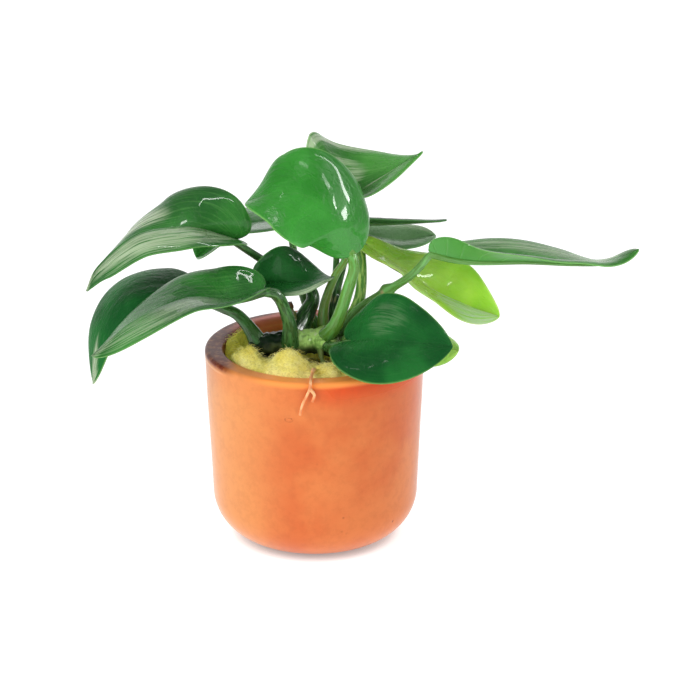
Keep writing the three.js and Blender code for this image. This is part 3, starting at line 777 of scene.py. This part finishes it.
def stalk_line(blade, row):
    """Centres and radii of the stalk, which runs on as a rib under the blade."""
    foot, top = row["radius"]
    share = np.linspace(0, RIB_REACH, RIB_STEPS + 1)
    rib_radius = top + (RIB_END_RADIUS - top) * (share / RIB_REACH) ** STALK_TAPER_POWER
    place, normal, _ = blade.frame_at(share)
    sinking = np.clip(share / RIB_SINK_SHARE, 0, 1)
    sunk = RIB_SUNK_AT_NOTCH + (RIB_SUNK - RIB_SUNK_AT_NOTCH) * sinking
    rib = place + normal * (sunk - rib_radius)[:, None]
    t = np.linspace(0, 1, STALK_STEPS, endpoint=False)
    path = curve(list(row["stalk"]) + [rib[0].tolist()], t)
    radius = foot + (top - foot) * t ** STALK_TAPER_POWER
    radius *= 1 + SHEATH_SWELL * np.exp(-((t / SHEATH_SHARE) ** 2))
    if "knot" in row:
        radius *= 1 + KNOT_SWELL * np.exp(-(((t - row["knot"]) / KNOT_SHARE) ** 2))
    return np.vstack([path, rib]), np.concatenate([radius, rib_radius])


def make_leaf(row, seed):
    skin = Skin()
    blade = blade_sheet(skin, row, seed)
    centres, radii = stalk_line(blade, row)
    skin.tube(centres, radii, STALK_SIDES, slot=2, flutes=0.05)
    look = LEAF_LOOKS[row["look"]]
    materials = [upper_side(row, look, seed), under_side(row, look), stalk_skin(row, look)]
    piece = skin.build(row["name"] + "_look", materials)
    stand_for(piece, row["name"])


def blade_place(shade):
    """v and s on a blade, and the share of a vein's spacing to the nearest side vein."""
    v, across, _ = shade.uv()
    s = shade.minus(shade.times(across, 2.0), 1.0)
    offset = shade.times(shade.math("GREATER_THAN", s, 0.0), 0.5)
    phase = shade.plus(shade.times(v, float(VEINS)), offset)
    return v, s, shade.math("PINGPONG", phase, 0.5)


def upper_side(row, look, seed):
    """Leathery wet green: faint veins, a thin lighter edge, long streaks, an uneven film of water, and pale
    patches that are partly real paleness and partly painted sheen, reflections and highlights.
    """
    shade = Shade(row["name"] + "_upper")
    v, s, to_vein = blade_place(shade)
    u = shade.math("ABSOLUTE", s)
    vein_mark, rib_mark, streak_mark = look["marks"]
    place = shade.place()
    patches = shade.noise(place, 60.0 + 3 * seed, 2.0)
    over_blade = shade.join(v, s, float(seed))
    film = shade.noise(shade.stretch(over_blade, FILM_STEPS), 1.0, 2.0, 0.5, 0.8)
    streaks = shade.noise(shade.stretch(over_blade, STREAK_STEPS), 1.0, 3.0, 0.6, 0.4)
    fine = shade.noise(place, 1200.0, 2.0)
    vein = shade.step(to_vein, 0.0, 0.07, 1.0, 0.0)
    vein = shade.times(vein, shade.step(u, 0.6, 0.95, 1.0, 0.0))
    rib = shade.step(u, 0.0, 0.04, 1.0, 0.0)
    edge = shade.step(u, 0.965, 1.0)
    shade.base(shade.step(patches, 0.35, 0.65), look["shade"], look["light"])
    lines = shade.step(streaks, 0.5, 0.68, 0.0, streak_mark)
    shade.layer(lines, look["vein"])
    shade.layer(shade.times(vein, vein_mark), look["vein"])
    shade.layer(shade.times(rib, rib_mark), look["vein"])
    shade.layer(shade.times(edge, 0.8), look["edge"])
    broken = shade.step(streaks, 0.36, 0.6)
    # Pale patches laid on as colour: real paleness at tips and on a fold, elsewhere painted sheen,
    # reflections and highlights
    for centre_v, centre_s, reach_v, reach_s, strength in row.get("pale_and_sheen", []):
        far_v = shade.math("DIVIDE", shade.minus(v, centre_v), reach_v)
        far_s = shade.math("DIVIDE", shade.minus(s, centre_s), reach_s)
        far = shade.minus(shade.far(far_v, far_s), shade.times(streaks, 0.5))
        solid = shade.math("POWER", broken, 1.2 - strength)
        share = shade.times(shade.step(far, 0.3, 0.9, strength, 0.0), solid)
        shade.layer(share, PALE_AND_SHEEN)
    height = shade.times(streaks, streak_mark)
    height = shade.minus(height, shade.times(vein, vein_mark))
    normal = shade.bump(height, 0.35)
    normal = shade.bump(film, FILM_DEPTH, 1.0, normal)
    normal = shade.bump(fine, 0.012, 0.3, normal)
    rough = shade.plus(shade.step(film, 0.4, 0.62, 0.3, 0.2), shade.times(streaks, 0.1))
    coat = look["gloss"]
    if "wet" in row:
        coat = shade.step(v, *row["wet"], coat, DRY_COAT)
    return shade.finish((look["glow"], LEAF_SCATTER, LEAF_SCATTER_DEPTH), Roughness=rough, Normal=normal,
                        IOR=1.4, Coat_Weight=coat, Coat_Roughness=0.06,
                        Specular_IOR_Level=0.05 + 0.2 * look["gloss"])


def under_side(row, look):
    """Paler and duller than above, with the side veins standing out."""
    shade = Shade(row["name"] + "_under")
    _, _, to_vein = blade_place(shade)
    vein = shade.step(to_vein, 0.0, 0.1, 1.0, 0.0)
    patches = shade.noise(shade.place(), 110.0, 4.0)
    shade.base(patches, look["light"], look["under"])
    shade.layer(shade.times(vein, 0.3), look["vein"])
    normal = shade.bump(shade.plus(vein, patches), 0.12)
    return shade.finish((look["glow"], LEAF_SCATTER, LEAF_SCATTER_DEPTH), Normal=normal,
                        Roughness=shade.step(patches, 0.2, 0.8, 0.34, 0.5))


def stalk_skin(row, look):
    """Green stalk with lighter streaks along it, darker at its foot, and a pale painted highlight on its
    knot, where there is one.
    """
    shade = Shade(row["name"] + "_stalk")
    along, round_it, _ = shade.uv()
    lines = shade.noise(shade.join(shade.times(along, 12.0), shade.times(round_it, 11.0)), 1.0)
    foot = shade.step(along, 0.0, 0.22, 1.0, 0.0)
    streaked = shade.step(lines, 0.46, 0.66, 0.0, 0.8)
    shade.base(streaked, row["stalk_paint"], look["vein"])
    shade.layer(shade.times(foot, 0.3), STALK_FOOT)
    # Painted highlight: the knot is painted pale brownish white
    if "knot" in row:
        knot = row["knot"] * STALK_STEPS / (STALK_STEPS + RIB_STEPS + 2)
        near = shade.math("ABSOLUTE", shade.minus(along, knot))
        near = shade.times(shade.step(near, 0.002, 0.016, 1.0, 0.0), shade.step(lines, 0.4, 0.6))
        shade.layer(near, STALK_KNOT_HIGHLIGHT)
    normal = shade.bump(lines, 0.4)
    return shade.finish(Roughness=shade.step(lines, 0.3, 0.7, 0.2, 0.36), Normal=normal, Coat_Weight=0.35,
                        Coat_Roughness=0.1)


# Pot

def arc(cx, cz, radius, start, end, steps):
    angles = np.radians(np.linspace(start, end, steps + 1))
    return np.stack([cx + radius * np.cos(angles), cz + radius * np.sin(angles)], axis=1)


def inner_radius(z):
    return POT_RADIUS - POT_WALL - POT_TAPER * (POT_HEIGHT - z) / POT_HEIGHT


def pot_profile():
    """Half section of the pot as radius and height, from the middle of the foot to that of the floor."""
    foot = POT_RADIUS - POT_TAPER
    outer = arc(foot - POT_FOOT_ROUND, POT_FOOT_ROUND, POT_FOOT_ROUND, -90, 0, 16)
    rise = np.linspace(0, 1, 22)[1:-1, None]
    edge = np.array([POT_RADIUS, POT_HEIGHT - RIM_ROUND_OUTER])
    wall = outer[-1] + (edge - outer[-1]) * rise
    rim_out = arc(POT_RADIUS - RIM_ROUND_OUTER, POT_HEIGHT - RIM_ROUND_OUTER, RIM_ROUND_OUTER, 0, 90, 6)
    inner_edge = POT_RADIUS - POT_WALL
    rim_in = arc(inner_edge + RIM_ROUND_INNER, POT_HEIGHT - RIM_ROUND_INNER, RIM_ROUND_INNER, 90, 180, 6)
    corner = POT_FLOOR + POT_INNER_ROUND
    inside = arc(inner_radius(corner) - POT_INNER_ROUND, corner, POT_INNER_ROUND, 0, -90, 8)
    return np.vstack([[[0, 0]], outer, wall, rim_out, rim_in, inside, [[0, POT_FLOOR]]])


def wobble(angles, z):
    """Small unevenness of the wall at one height, which fades out towards the foot."""
    high = np.clip((z - WOBBLE_START) / WOBBLE_RISE, 0, 1)
    round_it, upward = WOBBLE_STEPS
    waves = [noise.noise((round_it * math.cos(a), round_it * math.sin(a), upward * z)) for a in angles]
    return POT_WOBBLE * high * (np.array(waves) - 0.5)


def make_pot():
    angles = np.linspace(0, 2 * np.pi, POT_SIDES, endpoint=False)
    rings = []
    for radius, z in pot_profile():
        reach = radius + wobble(angles, z)
        ring = np.stack([reach * np.cos(angles), reach * np.sin(angles), np.full_like(angles, z)], axis=1)
        rings.append(ring if radius > 0 else np.repeat([[0, 0, z]], POT_SIDES, axis=0))
    skin = Skin()
    skin.sheet(np.array(rings), even_uv(len(rings), POT_SIDES + 1), wrap=True)
    piece = skin.build("pot_look", [clay()], sharp=70)
    stand_for(piece, "pot")


def clay():
    """Fired clay: warm blotches, a stained and a wet stretch of rim, specks, marks and turning lines. Painted
    light on it: a lighter left side, a lighter front of the rim, a pink reflection on the inner back wall, a
    leaf's shadow in the wet stretch and a highlight along a turning line.
    """
    shade = Shade("fired_clay")
    place = shade.place()
    x, y, z = shade.split(place)
    blotches = shade.noise(place, 38.0, 4.0, 0.55)
    soft = shade.noise(place, 14.0, 2.0)
    grain = shade.noise(place, 420.0, 3.0, 0.7)
    rim = shade.ramp(z, CLAY_REACH["rim_z"])
    shade.base(shade.step(blotches, 0.36, 0.64), CLAY["shade"], CLAY["light"])
    shade.layer(shade.step(soft, 0.4, 0.7, 0.0, 0.3), CLAY["deep"])
    # Painted light: the left side is painted lighter and yellower, where the lamp on the left lights it
    shade.layer(shade.ramp(x, CLAY_REACH["left_x"], 0.8, 0.0), CLAY["left"])
    # The band under the rim on the right is partly real wetness, made glossier, and partly a painted shadow
    # of the front right leaf
    wet_shadow_edge = shade.plus(shade.times(blotches, 0.012), z)
    wet_shadow_share = shade.ramp(x, CLAY_REACH["wet_shadow_x"], 0.12, 0.9)
    wet = shade.times(shade.ramp(wet_shadow_edge, CLAY_REACH["wet_shadow_z"]), wet_shadow_share)
    shade.layer(wet, CLAY["wet"])
    shade.layer(shade.step(grain, 0.3, 0.6, 0.12, 0.0), CLAY["grain"])
    left = shade.minus(shade.times(y, 0.25), x)
    stain = shade.times(shade.ramp(left, CLAY_REACH["stain"]), rim)
    stain = shade.times(stain, shade.step(grain, 0.3, 0.55, 0.6, 1.0))
    shade.layer(stain, CLAY["stain"])
    # Painted reflection: the inner back wall is painted pink, as the white surroundings mirror in its wet
    # clay
    back = shade.ramp(z, CLAY_REACH["back_z"], 0.0, 0.9)
    back = shade.times(shade.ramp(y, CLAY_REACH["back_y"]), back)
    back = shade.times(back, shade.ramp(shade.far(x, y), CLAY_REACH["inner_wall"], 1.0, 0.0))
    shade.layer(back, CLAY["back"])
    # Painted light: the front of the rim is painted lighter orange, as if well lit
    front = shade.ramp(y, CLAY_REACH["front_y"], 1.0, 0.0)
    front = shade.times(front, shade.ramp(x, CLAY_REACH["front_x"]))
    shade.layer(shade.times(front, rim), CLAY["front"])
    # The turning line under the rim is a small real ridge in the bump, with a painted highlight along it
    turned = shade.math("ABSOLUTE", shade.minus(z, TURNED_HIGHLIGHT_LINE * MM))
    turned = shade.ramp(turned, CLAY_REACH["turned"], 1.0, 0.0)
    turned = shade.times(turned, shade.step(soft, 0.45, 0.55))
    shade.layer(shade.times(turned, 0.35), CLAY["turned"])
    speck = shade.step(shade.dots(place, 260.0), 0.05, 0.12, 1.0, 0.0)
    speck = shade.times(speck, shade.step(shade.noise(place, 55.0, 1.0), 0.6, 0.68))
    on_face = shade.ramp(y, CLAY_REACH["marks_y"], 1.0, 0.0)
    on_face = shade.times(on_face, shade.step(grain, 0.42, 0.55))
    for mark_x, mark_z, ring, width in POT_MARKS:
        far_x = shade.minus(x, mark_x * MM)
        far_z = shade.times(shade.minus(z, mark_z * MM), MARK_FLATNESS)
        off = shade.math("ABSOLUTE", shade.minus(shade.far(far_x, far_z), ring * MM))
        mark = shade.ramp(off, (0, width), 1.0, 0.0)
        speck = shade.math("MAXIMUM", speck, shade.times(mark, on_face))
    shade.layer(shade.times(speck, 0.65), CLAY["speck"])
    rings = shade.noise(shade.stretch(place, (1.0, 1.0, 60.0)), 9.0, 3.0, 0.6)
    height = shade.plus(shade.times(rings, 0.5), shade.times(grain, 0.2))
    height = shade.plus(shade.minus(height, speck), turned)
    normal = shade.bump(height, 0.07)
    rough = shade.plus(shade.step(blotches, 0.3, 0.7, 0.3, 0.42), shade.times(wet, -0.12))
    coat = shade.ramp(z, CLAY_REACH["rim_z"], *CLAY_COAT)
    return shade.finish(Roughness=rough, Normal=normal, IOR=1.4, Coat_Weight=coat, Coat_Roughness=0.12,
                        Coat_IOR=1.18, Specular_IOR_Level=0.25)


# Rock wool

def wool_height(x, y):
    """Height of the wool's top: lower at the back, tufts in front and on the left, hollow at the stem."""
    z = WOOL_TOP - WOOL_SLOPE * y
    for cx, cy, height, spread in WOOL_TUFTS:
        z += height * math.exp(-((x - cx) ** 2 + (y - cy) ** 2) / spread ** 2)
    away = ((x - WOOL_HOLLOW["x"]) ** 2 + (y - WOOL_HOLLOW["y"]) ** 2) / WOOL_HOLLOW["spread"] ** 2
    z -= WOOL_HOLLOW["depth"] * math.exp(-away)
    ripple = math.sin(WOOL_RIPPLE["rays"] * math.atan2(y, x) + x) * math.cos(WOOL_RIPPLE["bands"] * y)
    return z + WOOL_RIPPLE["height"] * ripple + WOOL_FLUFF * noise.noise((x * 0.7, y * 0.7, 0.5))


def wool_edge(z):
    return inner_radius(z) - GAP


def make_wool():
    angles = np.linspace(0, 2 * np.pi, WOOL_SIDES, endpoint=False)
    circle = np.stack([np.cos(angles), np.sin(angles)], axis=1)
    corner = POT_FLOOR + POT_INNER_ROUND
    section = arc(inner_radius(corner) - POT_INNER_ROUND, corner, POT_INNER_ROUND - GAP, -90, 0, 6)
    rings = [np.repeat([[0, 0, section[0][1]]], WOOL_SIDES, axis=0)]
    for radius, z in section:
        rings.append(np.column_stack([circle * radius, np.full(WOOL_SIDES, z)]))
    for share in np.linspace(1, 0, WOOL_RINGS):
        spots = circle * wool_edge(WOOL_TOP) * share
        rings.append(np.array([[px, py, wool_height(px, py)] for px, py in spots]))
    skin = Skin()
    skin.sheet(np.array(rings), even_uv(len(rings), WOOL_SIDES + 1), wrap=True)
    for centres, radii in fibres():
        skin.tube(centres, radii, FIBRE_SIDES, slot=1)
    piece = skin.build("rock_wool_look", [wool_bed(), wool_fibre()], sharp=80)
    stand_for(piece, "rock_wool")


def on_tuft(x, y):
    """How much a spot lies on a tuft, from 0 to 1."""
    return max(math.exp(-((x - cx) ** 2 + (y - cy) ** 2) / (TUFT_REACH * spread) ** 2)
               for cx, cy, _, spread in WOOL_TUFTS)


def fibres():
    """Short bent fibres that stand out of the wool, thickest on its tufts, drawn with a fixed seed."""
    draw = random.Random(11)
    lines = []
    while len(lines) < FIBRES:
        angle = draw.uniform(0, 2 * math.pi)
        radius = (wool_edge(WOOL_TOP) - 0.4) * math.sqrt(draw.random())
        x, y = radius * math.cos(angle), radius * math.sin(angle)
        if draw.random() > FIBRES_BETWEEN + (1 - FIBRES_BETWEEN) * on_tuft(x, y):
            continue
        length = draw.uniform(*FIBRE_LENGTH)
        heading = draw.uniform(0, 2 * math.pi)
        lift = draw.uniform(0.1, 1.1)
        turn = draw.uniform(-1.6, 1.6)
        point = np.array([x, y, wool_height(x, y) - 0.25])
        centres = [point]
        for _ in range(FIBRE_STEPS):
            step = np.array([math.cos(heading), math.sin(heading), lift])
            point = point + step / np.linalg.norm(step) * length / FIBRE_STEPS
            reach = math.hypot(point[0], point[1])
            if reach > FIBRE_LIMIT:
                point[:2] *= FIBRE_LIMIT / reach
            centres.append(point)
            heading += turn / FIBRE_STEPS
            lift -= FIBRE_DROOP / FIBRE_STEPS
        lines.append((centres, np.linspace(FIBRE_RADIUS, FIBRE_RADIUS * 0.5, FIBRE_STEPS + 1)))
    return lines


def wool_colour(shade):
    """Pale yellow in front, olive with algae towards the back, with a painted shadow, almost black, round the
    stem.
    """
    place = shade.place()
    x, y, _ = shade.split(place)
    clumps = shade.noise(place, 160.0, 4.0, 0.6)
    shade.base(shade.step(clumps, 0.3, 0.7), WOOL["shade"], WOOL["light"])
    uneven_y = shade.plus(shade.times(y, 0.9), shade.times(clumps, 0.004))
    shade.layer(shade.ramp(uneven_y, WOOL_ALGAE), WOOL["algae"])
    # Painted shadow: the wool in front of and round the stem is painted almost black, where the stem shades
    # it
    hollow = shade.ramp(y, WOOL_SHADOW_PAINT["front_y"], 0.0, 0.95)
    hollow = shade.times(hollow, shade.ramp(y, WOOL_SHADOW_PAINT["back_y"], 1.0, 0.0))
    hollow = shade.times(hollow, shade.ramp(x, WOOL_SHADOW_PAINT["left_x"]))
    shade.layer(hollow, WOOL["hollow"])
    return clumps


def wool_bed():
    shade = Shade("wool_bed")
    clumps = wool_colour(shade)
    grain = shade.noise(shade.place(), 1500.0, 3.0, 0.7)
    shade.layer(shade.step(grain, 0.35, 0.6, 0.35, 0.0), WOOL["grain"])
    normal = shade.bump(shade.plus(grain, clumps), 0.3)
    return shade.finish(Roughness=0.95, Normal=normal, Specular_IOR_Level=0.2)


def wool_fibre():
    shade = Shade("wool_fibre")
    wool_colour(shade)
    light = shade.noise(shade.place(), 700.0, 1.0)
    shade.layer(shade.step(light, 0.4, 0.7, 0.0, 0.5), WOOL["fibre"])
    return shade.finish((0.2, (1.0, 0.9, 0.5), 0.5), Roughness=0.6)


# Creeping stem and root

def smooth_tube(skin, points, radii, steps, sides):
    t = np.linspace(0, 1, steps + 1)
    width = curve([[r, 0, 0] for r in radii], t)[:, 0]
    skin.tube(curve(points, t), width, sides)


def make_stem():
    """The branches grown into one body, with leaf scars as rings, knobs and rough skin."""
    skin = Skin()
    for branch in STEM_BRANCHES:
        smooth_tube(skin, branch["points"], branch["radii"], 24, 20)
    smooth_tube(skin, STUB["points"], STUB["radii"], 14, 12)
    rough = skin.build("stem_draft", [])
    grow = rough.modifiers.new("one_body", "REMESH")
    grow.mode = "VOXEL"
    grow.voxel_size = STEM_VOXEL * MM
    soften = rough.modifiers.new("soften", "SMOOTH")
    soften.iterations = 4
    mesh = bpy.data.meshes.new_from_object(rough.evaluated_get(bpy.context.evaluated_depsgraph_get()))
    bpy.data.objects.remove(rough)
    for vertex in mesh.vertices:
        x, y, z = vertex.co / MM
        place = Vector((x, y, z))
        ring = abs((x + STEM_RING_SLANT * y) / STEM_RING_EVERY % 1 - 0.5) * 2
        scar = STEM_RING_HEIGHT * max(0.0, 1 - ring * 3) if z < STUB_FROM else 0
        knobs = STEM_ROUGHNESS * noise.noise(place * STEM_KNOB_STEPS)
        grain = STEM_GRAIN * noise.noise(place * STEM_GRAIN_STEPS)
        vertex.co += vertex.normal * (scar + knobs + grain) * MM
    finish_mesh(mesh, [stem_skin()], 80)
    piece = add_object("creeping_stem_look", mesh)
    stand_for(piece, "creeping_stem")


def stem_skin():
    """Almost black green at the old end, lighter and knobby at the growing end, brown on the stub. Painted on
    it: highlights on the knob tops, shade in the creases between them, and shade underneath and to the right.
    """
    shade = Shade("stem_skin")
    place = shade.place()
    x, y, z = shade.split(place)
    spots = shade.noise(place, 320.0, 4.0, 0.6)
    uneven_x = shade.plus(x, shade.times(spots, 0.004))
    growing = shade.ramp(uneven_x, STEM_REACH["growing_x"])
    shade.base(growing, STEM["old"], STEM["growing"])
    # Painted light and shade: the creases between knobs are painted darker, the knob tops almost white as
    # highlights
    crease_shade = shade.times(shade.step(spots, 0.36, 0.46, 0.8, 0.0), growing)
    shade.layer(crease_shade, STEM["crease"])
    knob_highlights = shade.times(shade.step(spots, 0.54, 0.62, 0.0, 0.9), growing)
    shade.layer(knob_highlights, STEM["spots"])
    # Painted shade: the stem is painted almost black underneath and towards its right end, under the leaves
    low = shade.ramp(z, STEM_REACH["shaded_low_z"], 0.9, 0.0)
    low = shade.math("MAXIMUM", low, shade.ramp(x, STEM_REACH["shaded_right_x"], 0.0, 0.85))
    shade.layer(low, STEM["low"])
    shade.layer(shade.ramp(z, STEM_REACH["stub_z"]), STEM["stub"])
    shade.layer(shade.ramp(z, STEM_REACH["stub_end_z"]), STEM["stub_end"])
    peg = shade.ramp(y, STEM_REACH["peg_y"], 1.0, 0.0)
    peg = shade.times(peg, shade.ramp(x, STEM_REACH["peg_x"], 1.0, 0.0))
    shade.layer(peg, STEM["peg"])
    return shade.finish(Roughness=shade.step(spots, 0.3, 0.7, 0.3, 0.55), Normal=shade.bump(spots, 0.6),
                        Coat_Weight=0.3, Coat_Roughness=0.08, Specular_IOR_Level=0.2)


def make_root():
    skin = Skin()
    for strand, points in enumerate(ROOT_STRANDS):
        steps = 6 * len(points)
        t = np.linspace(0, 1, steps + 1)
        uneven = 1 + 0.12 * wave_sum(t * 4, 5 + strand)
        skin.tube(curve(points, t), ROOT_RADIUS * uneven * (1 - 0.35 * t), 12)
    piece = skin.build("root_over_rim_look", [root_skin()], sharp=80)
    stand_for(piece, "root_over_rim")


def root_skin():
    shade = Shade("root_skin")
    spots = shade.noise(shade.place(), 600.0, 3.0)
    shade.base(shade.step(spots, 0.35, 0.65), ROOT["shade"], ROOT["light"])
    return shade.finish((0.2, (1.0, 0.6, 0.35), 0.6), Roughness=shade.step(spots, 0.3, 0.7, 0.3, 0.5),
                        Normal=shade.bump(spots, 0.1))


# Floor, light and camera

FLOOR_HALF = 3.0
FLOOR_GLOW = 0.85
CONTACT_REACH = 3.5
CONTACT_SHARE = 0.7
CONTACT_GLOW = 0.3
FLOOR_TONES = ((176, 176, 176), (182, 182, 182))
WHITE = (1.0, 1.0, 1.0, 1.0)

# Soft lights, with place and size in metres and power in watts: they light the part but aren't mirrored in it
LIGHTS = {
    "key_left": [(-0.75, -0.6, 0.55), (0.7, 0.7), 7.6],
    "fill_right": [(0.7, -0.7, 0.4), (0.6, 0.6), 3.4],
}
# Panels, which show only as reflections in its wet gloss
PANELS = {
    "right_panel": [(0.75, -0.25, 0.5), (0.2, 0.3), 4.5],
    "long_panel": [(0.5, 0, 0.8), (0.07, 0.7), 4],
    "high_panel": [(0.46, -0.32, 0.7), (0.06, 0.14), 0.9],
    "top_panel": [(-0.16, -0.24, 0.85), (0.3, 0.03), 1],
}
# The white surroundings get stronger from in front of the part to behind it
SKY = {"From Min": 0.3, "From Max": 0.95, "To Min": 0.3, "To Max": 1.3}


def make_floor():
    mesh = bpy.data.meshes.new("floor")
    h = FLOOR_HALF
    mesh.from_pydata([(-h, -h, 0), (h, -h, 0), (h, h, 0), (-h, h, 0)], [], [(0, 1, 2, 3)])
    shade = Shade("pale_floor")
    tone = shade.noise(shade.place(), 3.0, 2.0)
    shade.base(tone, *FLOOR_TONES)
    # Painted contact shadow: the floor's glow is cut down near the pot, where ambient occlusion finds it
    # close
    open_air = shade.node("AmbientOcclusion", {"Distance": CONTACT_REACH * MM}).outputs["AO"]
    glow = shade.step(open_air, 0.0, CONTACT_SHARE, CONTACT_GLOW * FLOOR_GLOW, FLOOR_GLOW)
    mesh.materials.append(shade.finish(Roughness=0.9, Emission_Color=WHITE, Emission_Strength=glow,
                                       Specular_IOR_Level=0.1))
    floor = add_object("floor", mesh)


def aim(thing, target):
    thing.rotation_euler = (Vector(target) - thing.location).to_track_quat("-Z", "Y").to_euler()


def soft_light(name, place, size, power):
    data = bpy.data.lights.new(name, "AREA")
    data.shape = "RECTANGLE"
    data.size, data.size_y = size
    data.energy = power
    lamp = add_object(name, data)
    lamp.location = place
    aim(lamp, Vector(VIEW_TARGET) * MM)
    return lamp


def make_light():
    world = bpy.data.worlds.new("pale_studio")
    world.use_nodes = True
    tree = world.node_tree
    ways = tree.nodes.new("ShaderNodeTexCoord").outputs["Generated"]
    parts = tree.nodes.new("ShaderNodeSeparateXYZ")
    tree.links.new(ways, parts.inputs[0])
    back = tree.nodes.new("ShaderNodeMapRange")
    back.interpolation_type = "SMOOTHSTEP"
    for key, value in SKY.items():
        back.inputs[key].default_value = value
    tree.links.new(parts.outputs["Y"], back.inputs["Value"])
    tree.links.new(back.outputs[0], tree.nodes["Background"].inputs["Strength"])
    tree.nodes["Background"].inputs["Color"].default_value = WHITE
    bpy.context.scene.world = world
    for name, row in LIGHTS.items():
        soft_light(name, *row).visible_glossy = False
    for name, row in PANELS.items():
        soft_light(name, *row).visible_diffuse = False


def make_camera():
    data = bpy.data.cameras.new("photo_view")
    data.lens = VIEW_LENS
    data.sensor_width = 36.0
    data.sensor_fit = "HORIZONTAL"
    data.clip_start = 0.01
    camera = add_object("photo_view", data)
    tilt = math.radians(VIEW_ELEVATION)
    back = Vector((0, -math.cos(tilt), math.sin(tilt)))
    target = Vector(VIEW_TARGET)
    camera.location = (target + back * VIEW_DISTANCE) * MM
    aim(camera, target * MM)
    bpy.context.scene.camera = camera


make_camera()
make_light()
make_floor()
make_pot()
make_wool()
make_stem()
make_root()
for number, leaf_row in enumerate(LEAVES):
    make_leaf(leaf_row, number)

bpy.context.scene.view_settings.view_transform = "Standard"
